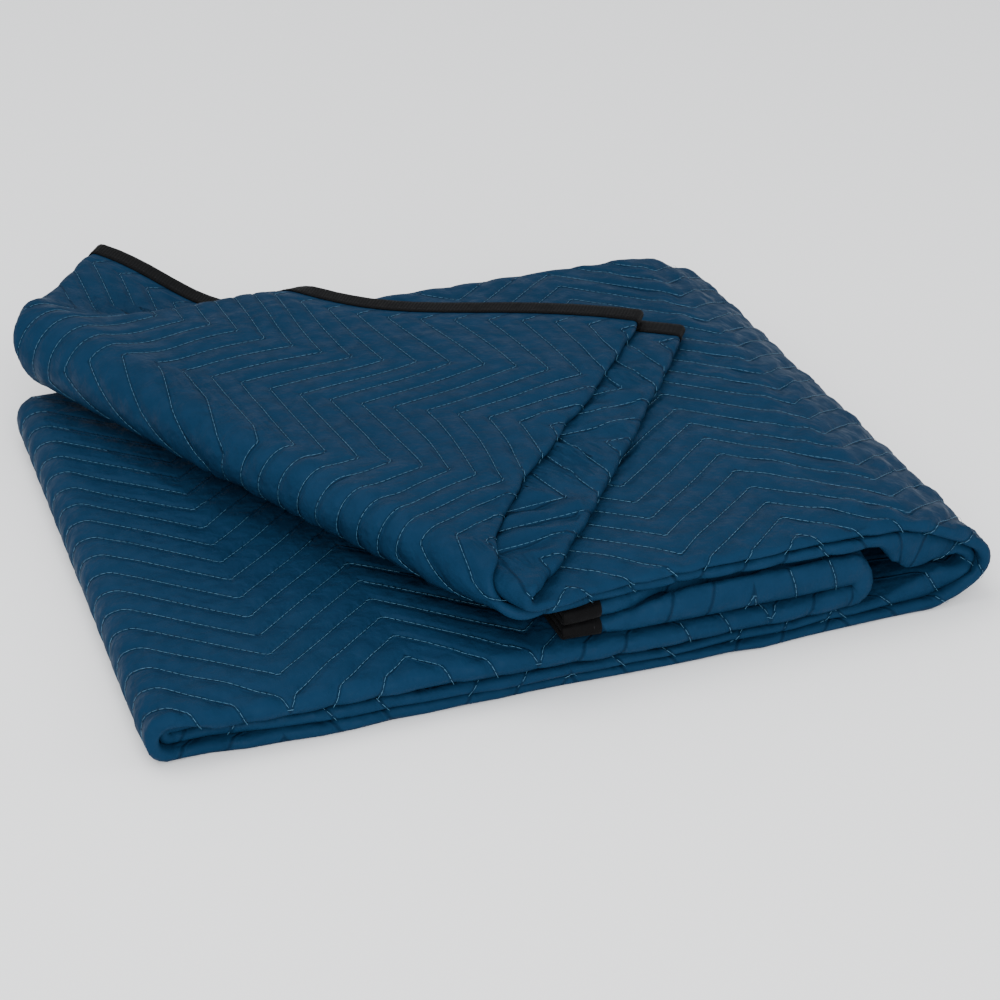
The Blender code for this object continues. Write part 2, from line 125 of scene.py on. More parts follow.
@dataclass(frozen=True)
class FoldPlan:
    """How the flat cloth is folded: sizes in millimetres, on the part's own folds."""

    pitch: float = 4.4
    thickness: float = 3.4
    tape_widths: Pair = (25.0, 18.0)
    strip_depth: float = 441.0
    front_y: float = -68.0
    flap_length: float = 392.0
    inner_end_x: float = 176.0
    inner_nose_x: float = 374.4
    left_turn_x: float = -70.4
    right_ramp_x: float = 424.3
    fold_x: float = 134.0
    fold_y: float = -66.0
    fold_direction: float = 116.6
    fold_span: float = 500.0
    dip: Pair = (2.0, 24.0)
    rise: Pair = (2.0, 20.0)
    roll_in: float = 150.0
    roll_out: float = 120.0
    flap_lift: float = 1.5
    flap_in: Pair = (9.0, -2.0)
    middle_in: float = 42.0
    middle: float = 201.0
    middle_width: float = 110.0
    droops: tuple[Triple, ...] = (
        # centre behind the front line, half width, depth
        (335.0, 75.0, 32.0), (270.0, 40.0, 9.0),
    )
    droop_start: float = 368.0
    droop_run: float = 55.0
    left_back_in: float = 15.0
    box_centre: Pair = (194.15, 218.75)
    loop_shifts: tuple[Triple, ...] = (
        # along, loops on the outside of the wrap, loops on its inside
        (0.0, 1.0, 0.0), (28.0, 0.5, 1.0), (74.0, -1.0, 12.0), (223.0, 1.0, 13.0),
        (443.0, -1.0, 11.5), (583.0, 1.0, 11.0), (663.0, 1.0, 10.0), (713.0, 6.0, 12.0),
        (783.0, 0.5, 2.5),
        (923.0, 1.5, -1.0), (1063.0, -1.0, 2.0), (1193.0, 2.5, 5.0), (1258.0, 1.0, 7.0),
        (1353.0, 3.0, 0.0), (1503.0, 0.0, 3.0), (1568.0, -8.0, 0.0), (1603.0, -19.0, 11.0),
        (1643.0, -27.0, 21.0), (1708.0, -33.0, 19.0), (1783.0, -35.0, 10.0),
        (1863.0, -34.0, 4.0), (1983.0, -32.0, 0.0),
    )
    sags: tuple[Pair, ...] = (
        # along, how far the inner layer sags into the hollow at the right end
        (1168.0, 0.0), (1185.0, 6.0), (1200.0, 9.0), (1215.0, 8.0), (1234.0, 0.0),
        (1262.0, 0.0), (1275.0, 9.0), (1290.0, 15.0), (1301.0, 17.0), (1314.0, 12.0),
        (1332.0, 0.0),
    )
    sag_depth: float = 190.0
    covers: tuple[Pair, ...] = (
        # along, how far the outer loop swells over the one beside it
        (30.0, 0.0), (80.0, 7.0), (640.0, 7.0), (668.0, 0.0),
    )
    cover_depth: float = 10.0
    shoulders: tuple[Triple, ...] = (
        # along, rounding of the front edge of the upper and of the lower half
        (226.0, 0.0, 0.0), (260.0, 2.6, 0.0), (640.0, 2.6, 0.0), (672.0, 0.0, 0.0),
        (1300.0, 0.0, 0.0), (1350.0, 2.0, 0.0), (1560.0, 2.0, 0.0), (1610.0, 0.0, 1.8),
        (1950.0, 0.0, 1.8), (1970.0, 0.0, 0.0),
    )
    shoulder_depth: float = 26.0
    front_levels: tuple[Pair, ...] = (
        # height of a boundary between layers, and its height at the pressed front
        (0.0, 0.0), (17.6, 13.2), (35.2, 31.4), (52.8, 57.0), (70.4, 73.0), (120.0, 121.0),
    )
    press_rise: Pair = (90.0, 160.0)
    press_fall: Pair = (452.0, 90.0)
    press_depth: float = 110.0
    left_drawn: Pair = (200.0, 290.0)
    middle_run: float = 330.0
    flap_in_run: float = 160.0
    before_fold: float = 10.0
    shift_parts: float = 5.0
    cover_reach: float = 0.3
    inner_layers: float = 10.0
    top_layers: float = 14.0
    fold_layers: float = 4.0
    edge_back: float = 3.5
    right_end: tuple[Pair, ...] = (
        # length, and turn in degrees, of each piece from the ramp to the top layer
        (29.3, 28.0), (10.0, 0.0), (24.5, 122.0), (16.6, 0.0), (50.0, 30.0),
    )
    waves: tuple[tuple[float, float, float, float, float], ...] = (
        # height, then length and share of the shift of the two waves that are multiplied
        (0.8, 13.0, 1.0, 61.0, 2.0), (0.5, 5.7, 1.3, 37.0, 0.0),
    )
    wave_shift: float = 1.7

    def __post_init__(self) -> None:
        """Works out the lengths that follow from the sizes."""
        store = object.__setattr__
        store(self, "loop_radius", 0.5 * self.pitch)
        store(self, "back_radius", 1.5 * self.pitch)
        store(self, "back_quarter", 0.5 * math.pi * self.back_radius)
        store(self, "loop_length", math.pi * self.loop_radius)
        store(self, "loop_start", self.back_quarter + self.strip_depth)
        store(self, "loop_end", self.loop_start + self.loop_length)
        store(self, "half_width", self.loop_end + self.strip_depth - self.edge_back)
        store(self, "top_level", self.top_layers * self.pitch)
        half_turn = math.pi * 2.0 * self.pitch
        pieces = (
            (self.inner_nose_x - self.inner_end_x, 0.0),
            (half_turn, -180.0),
            (self.inner_nose_x - self.left_turn_x, 0.0),
            (half_turn, 180.0),
            (self.right_ramp_x - self.left_turn_x, 0.0),
            *self.right_end,
        )
        state = (self.inner_end_x, self.inner_layers * self.pitch, 0.0)
        rows = []
        start = 0.0
        for length, degrees in pieces:
            turn = math.radians(degrees)
            rows.append((start, *state, length, turn))
            state = self.after_piece(state, length, turn)
            start += length
        store(self, "pieces", np.array(rows))
        store(self, "top_start", start)
        store(self, "top_x", state[0])
        angle = math.radians(self.fold_direction)
        store(self, "line", (math.cos(angle), math.sin(angle)))
        store(self, "across_line", (-math.sin(angle), math.cos(angle)))
        store(self, "length", start + state[0] - self.fold_x + self.flap_length)

    @staticmethod
    def after_piece(state: tuple, length: float, turn: float) -> tuple:
        """State at the end of one straight or bent piece.

        Args:
            state: x, z and heading at its start.
            length: its length.
            turn: how far it turns, in radians.

        Returns:
            x, z and heading at its end.
        """
        x, z, heading = state
        if abs(turn) < STRAIGHT:
            return x + length * math.cos(heading), z + length * math.sin(heading), heading
        radius = length / turn
        end = heading + turn
        return (x + radius * (math.sin(end) - math.sin(heading)),
                z - radius * (math.cos(end) - math.cos(heading)), end)

    def loop_shift(self, along: Array, across: Array) -> Array:
        """How far each front loop lies behind the pile's front line."""
        outside = table_value(self.loop_shifts, 1, along)
        inside = table_value(self.loop_shifts, 2, along)
        return np.where(across < 0.0, outside, inside) + self.loop_waves(along, across)

    def sag(self, along: Array, across: Array) -> Array:
        """How far the inner layer sags into the hollow at the right end, near the front."""
        depth = np.maximum(0.0, self.loop_start - np.abs(across))
        fade = 1.0 - smooth(depth / self.sag_depth)
        return np.where(across > 0.0, table_value(self.sags, 1, along) * fade, 0.0)

    def start(self, run: Run) -> float:
        """Distance along the strip where one of its lengths starts."""
        return float(self.pieces[run][0])

    def pressed(self, points: Array) -> Array:
        """Points with the layers' heights at the front as they press each other there."""
        x, y, z = points[..., 0], points[..., 1], points[..., 2]
        flat, front = np.array(self.front_levels).T
        share = (ramp_up(x, *self.press_rise) * ramp_down(x, *self.press_fall)
                 * (1.0 - ramp_up(y, self.front_y, self.press_depth)))
        return np.stack([x, y, z + share * (np.interp(z, flat, front) - z)], axis=-1)

    def loop_waves(self, along: Array, across: Array) -> Array:
        """Small waves of the front loops, where the quilting draws them in."""
        shift = np.where(across < 0.0, 0.0, self.wave_shift)
        return sum(height * np.sin(along / length + share * shift)
                   * np.sin(along / other_length + other_share * shift)
                   for height, length, share, other_length, other_share in self.waves)

    def section(self, along: Array, across: Array,
                lift: Array) -> tuple[Array, Array]:
        """Place in the folded strip's section.

        Args:
            along: distance along the strip.
            across: distance across the cloth, from its back fold.
            lift: height above the cloth's middle.

        Returns:
            Depth behind the front line, and offset from the strip's middle.
        """
        side = np.where(across < 0.0, -1.0, 1.0)
        distance = np.abs(across)
        front = self.loop_shift(along, across)
        angle = distance / self.back_radius
        loop = (distance - self.loop_start) / self.loop_radius
        back = self.back_radius + lift
        turn = self.loop_radius + lift
        sag = self.sag(along, across)
        cover = np.where(across < 0.0, table_value(self.covers, 1, along), 0.0)
        shoulder = np.where(across < 0.0, table_value(self.shoulders, 1, along),
                            table_value(self.shoulders, 2, along))
        flat = np.maximum(0.0, self.loop_start - distance)
        rounded = shoulder * (1.0 - smooth(flat / self.shoulder_depth))
        inner = np.maximum(0.0, distance - self.loop_end)
        held = cover * (1.0 - smooth(inner / self.cover_depth))
        where = [distance <= self.back_quarter, distance <= self.loop_start,
                 distance <= self.loop_end]
        depth = np.select(where, [
            self.strip_depth + back * np.cos(angle),
            self.shifted(self.loop_start - distance, front),
            front - (turn + self.cover_reach * cover) * np.sin(loop),
        ], self.shifted(distance - self.loop_end, front))
        offset = np.select(where, [
            side * back * np.sin(angle),
            side * (back + sag - rounded),
            side * (self.pitch + 0.5 * (sag - cover - shoulder)
                    + (turn + 0.5 * (sag + cover - shoulder)) * np.cos(loop)),
        ], side * (self.loop_radius - lift - held))
        return depth, offset

    def shifted(self, depth: Array, front: Array) -> Array:
        """Depth, with the cloth's first stretch following the loop's shift."""
        first = self.strip_depth / self.shift_parts
        return np.where(depth < first, mix(front, first, depth / first), depth)

    def roll_arcs(self, line_place: Array) -> tuple:
        """Arcs of the oblique fold at places along its line.

        Args:
            line_place: distance along the fold's line.

        Returns:
            Lengths and turns of three arcs, and where the first one starts.
        """
        share = np.clip((line_place + self.before_fold) / self.fold_span, 0.0, 1.0)
        dip = np.radians(mix(self.dip[0], self.dip[1], share))
        rise = np.radians(mix(self.rise[0], self.rise[1], share))
        drops = self.roll_in * (1.0 - np.cos(dip)) + self.roll_out * (1.0 - np.cos(rise))
        gap = self.fold_layers * self.pitch + self.flap_lift + drops
        radius = gap / (np.cos(dip) + np.cos(rise))
        bend = math.pi + dip + rise
        lengths = (self.roll_in * dip, radius * bend, self.roll_out * rise)
        turns = (-dip, bend, -rise)
        advance = (self.roll_in * np.sin(dip) + radius * (np.sin(dip) - np.sin(rise))
                   - self.roll_out * np.sin(rise))
        return lengths, turns, -0.5 * (sum(lengths) + advance)

    def roll(self, distance: Array, line_place: Array,
             up: Array) -> tuple[Array, Array]:
        """Carries points over the oblique fold.

        Args:
            distance: distance past the fold's line on the flat strip.
            line_place: distance along the line.
            up: height above the strip's middle.

        Returns:
            Distance past the line and height after folding.
        """
        lengths, turns, start = self.roll_arcs(line_place)
        left = distance - start
        place = np.where(left < 0.0, distance, start)
        height = np.zeros_like(place)
        heading = np.zeros_like(place)
        for length, turn in zip(lengths, turns):
            part = np.clip(left, 0.0, length)
            radius = length / turn
            end = heading + part / radius
            place = place + radius * (np.sin(end) - np.sin(heading))
            height = height - radius * (np.cos(end) - np.cos(heading))
            heading = end
            left = left - length
        place = place - np.maximum(left, 0.0)
        return place - up * np.sin(heading), height + up * np.cos(heading)

    def drawn_in(self, x: Array, y: Array) -> Array:
        """x, with the left side drawn in towards the back."""
        back = np.maximum(0.0, (y - self.front_y) / self.strip_depth)
        return x + self.left_back_in * back * ramp_down(x, *self.left_drawn)

    def in_pile(self, along: Array, depth: Array, offset: Array) -> Array:
        """Points of the strip's wrapped length, below the top layer."""
        rows = self.pieces
        row = np.clip(np.searchsorted(rows[:, 0], along, side="right") - 1, 0, len(rows) - 1)
        start, x, z, heading, length, turn = rows[row].T
        part = along - start
        flat = np.abs(turn) < STRAIGHT
        rate = np.where(flat, 1.0, turn / length)
        end = heading + rate * part
        bent_x = x + (np.sin(end) - np.sin(heading)) / rate
        bent_z = z - (np.cos(end) - np.cos(heading)) / rate
        x = np.where(flat, x + part * np.cos(heading), bent_x)
        z = np.where(flat, z + part * np.sin(heading), bent_z)
        heading = np.where(flat, heading, end)
        y = self.front_y + depth
        x = self.drawn_in(x - offset * np.sin(heading), y)
        return np.stack([x, y, z + offset * np.cos(heading)], axis=-1)

    def on_top(self, along: Array, depth: Array, offset: Array) -> Array:
        """Points of the top layer, the oblique fold and the flap."""
        dx = self.top_x - (along - self.top_start) - self.fold_x
        dy = self.front_y + depth - self.fold_y
        distance = dx * self.across_line[0] + dy * self.across_line[1]
        middle = np.exp(-((depth - self.middle) / self.middle_width) ** 2)
        dx = dx + self.middle_in * middle * smooth(distance / self.middle_run)
        front, back = self.flap_in
        slope = (front + back) * depth / self.strip_depth
        dy = dy + smooth(distance / self.flap_in_run) * (front - slope)
        line_place = dx * self.line[0] + dy * self.line[1]
        distance = dx * self.across_line[0] + dy * self.across_line[1]
        beyond, height = self.roll(distance, line_place, -offset)
        x = self.fold_x + line_place * self.line[0] + beyond * self.across_line[0]
        y = self.fold_y + line_place * self.line[1] + beyond * self.across_line[1]
        droop = sum(fall * np.exp(-((depth - centre) / width) ** 2)
                    for centre, width, fall in self.droops)
        droop = droop * ramp_up(y, self.droop_start, self.droop_run)
        z = self.top_level + height - np.where(distance > 0.0, droop, 0.0)
        return np.stack([self.drawn_in(x, y), y, z], axis=-1)

    def place(self, along: Array, across: Array, lift: Array) -> Array:
        """Points of the folded cloth.

        Args:
            along: distances along the strip.
            across: distances across the cloth, from its back fold.
            lift: heights above the cloth's middle.

        Returns:
            Points in metres, in the part's frame.
        """
        along, across, lift = np.broadcast_arrays(
            np.asarray(along, float), np.asarray(across, float), np.asarray(lift, float))
        depth, offset = self.section(along, across, lift)
        pile = along <= self.top_start
        points = np.where(pile[..., None], self.in_pile(along, depth, offset),
                          self.on_top(np.maximum(along, self.top_start), depth, offset))
        points = self.pressed(points)
        shift = np.array([*self.box_centre, self.loop_radius - 0.5 * self.thickness])
        points = (points - shift) * METRES
        points[..., 2] = np.maximum(points[..., 2], FLOOR_GAP)
        return points

    def line_depth(self, across: Array) -> Array:
        """Depth in the unshifted strip of a line across the cloth."""
        distance = np.abs(across)
        outer = np.clip(self.loop_start - distance, 0.0, self.strip_depth)
        return np.where(distance > self.loop_end, distance - self.loop_end, outer)

    def fold_along(self, depth: Array, arcs: float) -> Array:
        """Distance along the strip where a share of the oblique fold's arcs is reached.

        Args:
            depth: depths behind the front line.
            arcs: 0 at the start of the first arc and 3 at the end of the last.

        Returns:
            The distances.
        """
        depth = np.asarray(depth, float)
        behind = self.front_y + depth - self.fold_y
        line_place = behind / self.line[1]
        distance = np.zeros_like(depth)
        piece = min(int(arcs), 2)
        for _ in range(FOLD_ROUNDS):
            lengths, _turns, start = self.roll_arcs(line_place)
            distance = start + sum(lengths[:piece]) + lengths[piece] * (arcs - piece)
            line_place = (behind - distance * self.across_line[1]) / self.line[1]
        x = self.fold_x + line_place * self.line[0] + distance * self.across_line[0]
        return self.top_start + self.top_x - x


@dataclass(frozen=True)
class Quilting:
    """Zigzag rows of stitches, in millimetres on the flat cloth."""

    plan: FoldPlan
    spacing: float = 24.0
    height: float = 67.0
    period: float = 158.0
    outer_row: float = 68.0
    top_row: float = 59.0
    flap_row: float = 57.7
    row_changes: tuple[float, ...] = (240.0, -160.0, 40.0, -60.0)
    top_corner_x: float = 259.8
    flap_corner: float = 112.0
    hidden_start: float = 20.0
    hidden_periods: int = 5
    flap_periods: float = 2.5
    tape_clear: float = 6.0
    tape_fade: float = 4.0
    lower_arcs: float = 0.9
    side_fade: float = 20.0
    nose_fade: float = 30.0
    under_roll: Triple = (4.0, 50.0, 250.0)
    roll_fade: float = 14.0
    flap_corner_across: float = -38.0
    flap_clear: float = 2.0
    flap_fade: float = 16.0
    ledge_clear: float = 1.0
    ledge_fade: float = 6.0
    ledge_start: Pair = (1600.0, 30.0)

    def places(self) -> Triple:
        """Corners of the zigzag on the outer run, the top layer and the flap."""
        plan = self.plan
        outer = plan.start(Run.OUTER) + plan.inner_nose_x
        top = plan.top_start + plan.top_x - self.top_corner_x
        return outer, top, plan.length - self.flap_corner

    def phase(self, along: Array) -> Array:
        """Periods of the zigzag counted along the strip."""
        outer, top, flap = self.places()
        length = self.plan.length
        hidden = self.plan.start(Run.FLOOR) + self.hidden_start
        shown = self.plan.start(Run.RIGHT_TURN)
        last = self.hidden_periods + self.flap_periods
        return np.interp(along, (-length, hidden, shown, top, flap, flap + length), (
            (-length - outer) / self.period, (hidden - outer) / self.period,
            self.hidden_periods - (top - shown) / self.period, self.hidden_periods, last,
            last + length / self.period))

    def unrolled(self, along: Array, across: Array) -> Array:
        """Distance across the cloth, counted from one row of stitches."""
        outer, top, flap = self.places()
        places = np.array((outer, top, top, flap)) + self.row_changes
        rows = np.interp(along, places,
                         (self.outer_row, self.top_row, self.top_row, self.flap_row))
        return across + self.plan.loop_start - rows

    @staticmethod
    def zigzag(phase: Array) -> Array:
        """Rise of the zigzag, 0 at a front corner and 1 at a back corner."""
        return 1.0 - np.abs(2.0 * (phase - np.floor(phase)) - 1.0)

    def row(self, along: Array, across: Array) -> Array:
        """Row number, whole on a line of stitches."""
        rise = self.height * self.zigzag(self.phase(along))
        return (self.unrolled(along, across) - rise) / self.spacing

    def outer_shown(self, along: Array, depth: Array) -> Array:
        """How far the outer run and the left turn are free of the flap's roll."""
        plan = self.plan
        x = plan.inner_nose_x - (along - plan.start(Run.OUTER))
        y = plan.front_y + depth
        past = ((x - plan.fold_x) * plan.across_line[0]
                + (y - plan.fold_y) * plan.across_line[1])
        least, more, reach = self.under_roll
        under = least + more * np.maximum(0.0, 1.0 - depth / reach)
        shown = smooth((past + under) / self.roll_fade)
        shown = np.where(along < plan.start(Run.OUTER), 0.0, shown)
        shown = np.where(along > plan.start(Run.LEFT_TURN), 1.0, shown)
        return shown * ramp_down(along, plan.start(Run.FLOOR) + self.side_fade, self.side_fade)

    def top_shown(self, along: Array, depth: Array) -> Array:
        """How far the top layer is free of the flap on it."""
        plan = self.plan
        x = plan.top_x - (along - plan.top_start)
        y = plan.front_y + depth
        corner = plan.place(plan.length, self.flap_corner_across, 0.0) / METRES
        corner = corner[:2] + np.array(plan.box_centre)
        turn = math.radians(2.0 * plan.fold_direction - 180.0)
        way = (math.cos(turn), math.sin(turn))
        aside = (x - corner[0]) * way[1] - (y - corner[1]) * way[0]
        beyond = (x - corner[0]) * way[0] + (y - corner[1]) * way[1]
        top = np.maximum(ramp_up(aside, self.flap_clear, self.flap_fade),
                         ramp_up(beyond, self.flap_clear, self.flap_fade))
        return top * ramp_down(along, plan.fold_along(depth, 0.0), self.side_fade)

    def open_to_view(self, along: Array, across: Array) -> Array:
        """How far a point of the outer face is free of layers on it, from 0 to 1.

        Args:
            along: distances along the strip.
            across: distances across the cloth, from its back fold.

        Returns:
            The shares that are open to view.
        """
        plan = self.plan
        distance = np.abs(across)
        depth = np.clip(plan.loop_start - distance, 0.0, plan.strip_depth)
        bound = ramp_down(along, plan.length - plan.tape_widths[1] - self.tape_clear,
                          self.tape_fade)
        lower = ramp_up(along, plan.fold_along(depth, self.lower_arcs), self.side_fade) * bound
        nose = ramp_up(along, plan.start(Run.RAMP), self.nose_fade)
        upper = np.where(along < plan.start(Run.RAMP), self.outer_shown(along, depth),
                         np.where(along < plan.top_start, nose, self.top_shown(along, depth)))
        shown = np.where(across < 0.0, upper, lower)
        shown = np.where(distance > plan.loop_start, 0.0, shown)
        own = plan.loop_shift(along, np.full_like(across, -1.0))
        other = plan.loop_shift(along, np.ones_like(across))
        place = plan.shifted(np.maximum(0.0, distance - plan.loop_end), own)
        ledge = ramp_down(place, other - self.ledge_clear, self.ledge_fade)
        ledge = ledge * ramp_up(along, *self.ledge_start) * bound
        return np.where(across < -plan.loop_end, ledge, shown)


@dataclass(frozen=True)
class Creases:
    """Creases and soft swells of the layers that show, at listed places."""

    troughs: tuple[tuple[float, float, float, float, float, float], ...] = (
        # x and y of both ends in millimetres, half width, height
        (-200.0, -60.0, -120.0, -20.0, 14.0, 1.6),
        (-120.0, -150.0, -60.0, -90.0, 12.0, -1.5),
        (40.0, -120.0, 110.0, -60.0, 16.0, 1.8),
        (150.0, -210.0, 235.0, -120.0, 13.0, 2.2),
        (185.0, -250.0, 262.0, -190.0, 9.0, -2.2),
        (160.0, -262.0, 240.0, -236.0, 8.0, 2.0),
        (-30.0, -180.0, 40.0, -150.0, 13.0, -1.4),
        (-160.0, 90.0, -60.0, 130.0, 20.0, 1.5),
        (30.0, 100.0, 130.0, 60.0, 22.0, 1.4),
    )
    swell: tuple[float, float, float, float, float] = (0.7, 31.0, 0.6, 44.0, 1.1)
    ripple: Triple = (0.4, 17.0, 23.0)
    end_share: float = 0.3

    def height(self, points: Array) -> Array:
        """Rise of the creases at points in plan.

        Args:
            points: points in metres.

        Returns:
            Heights in metres.
        """
        x = points[:, 0] / METRES
        y = points[:, 1] / METRES
        swell, x_length, x_shift, y_length, y_shift = self.swell
        ripple, x_ripple, y_ripple = self.ripple
        rise = (swell * np.sin(x / x_length + x_shift) * np.sin(y / y_length + y_shift)
                + ripple * np.sin(x / x_ripple + y / y_ripple))
        for x0, y0, x1, y1, width, top in self.troughs:
            run = math.hypot(x1 - x0, y1 - y0)
            way = ((x1 - x0) / run, (y1 - y0) / run)
            place = (x - x0) * way[0] + (y - y0) * way[1]
            aside = (x - x0) * way[1] - (y - y0) * way[0]
            fade, past = self.end_share * run, self.end_share * width
            ends = smooth((place + past) / fade) * smooth((run + past - place) / fade)
            rise = rise + top * ends * np.exp(-(aside / width) ** 2)
        return rise * METRES


@dataclass(frozen=True)
class Surface:
    """Reflection and relief of one finish."""

    roughness: Pair
    specular: float
    ior: float = 1.5
    sheen: float = 0.0
    bump: Pair = (0.0, 0.0)


@dataclass(frozen=True)
class ClothFinish:
    """Woven polyester shell with a slight sheen."""

    base: Colour = (0.0040, 0.0212, 0.0500)
    # dark: painted shade in the grooves at the stitches, and random mottle
    dark: Colour = (0.0014, 0.0105, 0.0265)
    pale: Colour = (0.0070, 0.0285, 0.0620)
    surface: Surface = Surface((0.50, 0.66), 0.07, ior=1.32, bump=(0.85, 0.0012))
    threads_per_metre: float = 900.0
    wear_scales: Triple = (7.0, 90.0, 44.0)
    patch_share: float = 0.35
    # share of painted shade that darkens the grooves at the stitches
    groove_shade_share: float = 0.75
    mottle_share: float = 0.14
    weave_height: float = 0.10
    pucker_height: float = 1.5
    groove_height: float = -0.55
    wear_height: float = 0.3
    crumple_height: float = 1.6


@dataclass(frozen=True)
class TapeFinish:
    """Matt ribbed tape."""

    base: Colour = (0.0020, 0.0020, 0.0023)
    pale: Colour = (0.0045, 0.0046, 0.0052)
    surface: Surface = Surface((0.62, 0.78), 0.1, ior=1.3, sheen=0.01, bump=(0.6, 0.0005))
    ribs_per_metre: float = 420.0
    threads_per_metre: float = 1300.0
    wear_scale: float = 120.0
    wear_range: Pair = (0.4, 0.75)
    rubbed_share: float = 0.6
    rib_height: float = 0.4
    weave_height: float = 0.4


@dataclass(frozen=True)
class ThreadFinish:
    """Stitching thread."""

    base: Colour = (0.075, 0.185, 0.280)
    dark: Colour = (0.045, 0.120, 0.190)
    surface: Surface = Surface((0.45, 0.65), 0.15)
    wear_scale: float = 260.0


BINDING_THREAD = ThreadFinish(base=(0.02, 0.02, 0.022), dark=(0.008, 0.008, 0.010))


class NodeDesk:
    """Adds nodes and links to one node tree in few words."""

    def __init__(self, tree: bpy.types.NodeTree) -> None:
        """Keeps the tree."""
        self.tree = tree

    def node(self, kind: str, feeds: dict | None = None, **values: object) -> bpy.types.Node:
        """New node of a kind, with its own inputs and settings.

        Args:
            kind: the node's type name.
            feeds: sockets or values by the input's name or number.
            values: attributes that are set on it.

        Returns:
            The node.
        """
        made = self.tree.nodes.new(kind)
        for name, value in values.items():
            setattr(made, name, value)
        for name, source in (feeds or {}).items():
            self.feed(source, made.inputs[name])
        return made

    def feed(self, source: object, target: bpy.types.NodeSocket) -> None:
        """Links a socket to another, or sets the other's value."""
        if isinstance(source, bpy.types.NodeSocket):
            self.tree.links.new(source, target)
        else:
            target.default_value = source

    def math(self, operation: str, *values: object) -> bpy.types.NodeSocket:
        """Value of a Math node, from sockets or numbers in the order of its inputs."""
        return self.node("ShaderNodeMath", dict(enumerate(values)),
                         operation=operation).outputs[0]

    def blend(self, share: object, first: object, second: object) -> bpy.types.NodeSocket:
        """Colour between two others."""
        return self.node("ShaderNodeMix", {0: share, 6: first, 7: second},
                         data_type="RGBA").outputs[2]

    def scale_range(self, *values: object) -> bpy.types.NodeSocket:
        """Value carried smoothly from one range to another: value, low, high, first, last."""
        return self.node("ShaderNodeMapRange", dict(enumerate(values)),
                         interpolation_type="SMOOTHSTEP").outputs[0]

    def noise(self, place: object, scale: object, detail: float,
              dimensions: str = "3D") -> bpy.types.NodeSocket:
        """Value of a noise at a place."""
        return self.node("ShaderNodeTexNoise", {"Vector": place, "Scale": scale,
                                                "Detail": detail},
                         noise_dimensions=dimensions).outputs[0]


class EffectGroups:
    """Shader node groups that the finishes share."""

    def __init__(self) -> None:
        """Builds each group once."""
        self.rows = self.build_rows()
        self.weave = self.build_weave()
        self.wear = self.build_wear()

    @staticmethod
    def new_group(name: str, inputs: dict[str, float], outputs: tuple[str, ...]) -> tuple:
        """Empty group with a place and named values as inputs.

        Args:
            name: the group's name.
            inputs: default of each value by name.
            outputs: names of the values that it puts out.

        Returns:
            The tree, its desk, its input sockets and its output node.
        """
        tree = bpy.data.node_groups.new(name, "ShaderNodeTree")
        face = tree.interface
        face.new_socket("Place", in_out="INPUT", socket_type="NodeSocketVector")
        for title, value in inputs.items():
            made = face.new_socket(title, in_out="INPUT", socket_type="NodeSocketFloat")
            made.default_value = value
        for title in outputs:
            face.new_socket(title, in_out="OUTPUT", socket_type="NodeSocketFloat")
        desk = NodeDesk(tree)
        given = desk.node("NodeGroupInput").outputs
        return tree, desk, given, desk.node("NodeGroupOutput")

    def build_rows(self, groove_width: float = 0.075, pucker_reach: float = 0.30,
                   puckers_per_metre: float = 210.0,
                   puckers_per_row: float = 0.9) -> bpy.types.NodeTree:
        """Zigzag rows: how far a point is from a line of stitches, and the puckers beside it."""
        tree, desk, given, out = self.new_group(
            "quilting_rows", {"Period": 0.158, "Height": 0.067, "Spacing": 0.024},
            ("Groove", "Puckers"))
        split = desk.node("ShaderNodeSeparateXYZ", {0: given["Place"]}).outputs
        part = desk.math("FRACT", desk.math("DIVIDE", split[0], given["Period"]))
        tent = desk.math("SUBTRACT", 1.0, desk.math(
            "ABSOLUTE", desk.math("MULTIPLY_ADD", part, 2.0, -1.0)))
        rise = desk.math("MULTIPLY", tent, given["Height"])
        row = desk.math("DIVIDE", desk.math("SUBTRACT", split[1], rise), given["Spacing"])
        near = desk.math("PINGPONG", row, 0.5)
        stretched = desk.node("ShaderNodeCombineXYZ", {
            0: desk.math("MULTIPLY", split[0], puckers_per_metre),
            1: desk.math("MULTIPLY", row, puckers_per_row)})
        noise = desk.noise(stretched.outputs[0], 1.0, 2.0, "2D")
        fade = desk.scale_range(near, 0.0, pucker_reach, 1.0, 0.0)
        desk.feed(desk.scale_range(near, 0.0, groove_width, 1.0, 0.0), out.inputs["Groove"])
        desk.feed(desk.math("MULTIPLY", noise, fade), out.inputs["Puckers"])
        return tree

    def build_weave(self, yarn_scale: float = 620.0,
                    thread_height: float = 0.25) -> bpy.types.NodeTree:
        """Crossing threads of a plain weave, with uneven yarn."""
        tree, desk, given, out = self.new_group("plain_weave", {"Threads": 900.0}, ("Height",))
        split = desk.node("ShaderNodeSeparateXYZ", {0: given["Place"]}).outputs
        turn = desk.math("MULTIPLY", given["Threads"], math.pi)
        warp, weft = (desk.math("SINE", desk.math("MULTIPLY", split[side], turn))
                      for side in (0, 1))
        noise = desk.noise(given["Place"], yarn_scale, 2.0)
        desk.feed(desk.math("MULTIPLY_ADD", desk.math("MULTIPLY", warp, weft), thread_height,
                            noise), out.inputs["Height"])
        return tree

    def build_wear(self) -> bpy.types.NodeTree:
        """Soft patches, where the cloth is handled and its colour varies a little."""
        tree, desk, given, out = self.new_group(
            "soft_patches", {"Scale": 9.0, "Low": 0.35, "High": 0.65}, ("Mask",))
        noise = desk.noise(given["Place"], given["Scale"], 3.0)
        mask = desk.scale_range(noise, given["Low"], given["High"])
        desk.feed(mask, out.inputs["Mask"])
        return tree


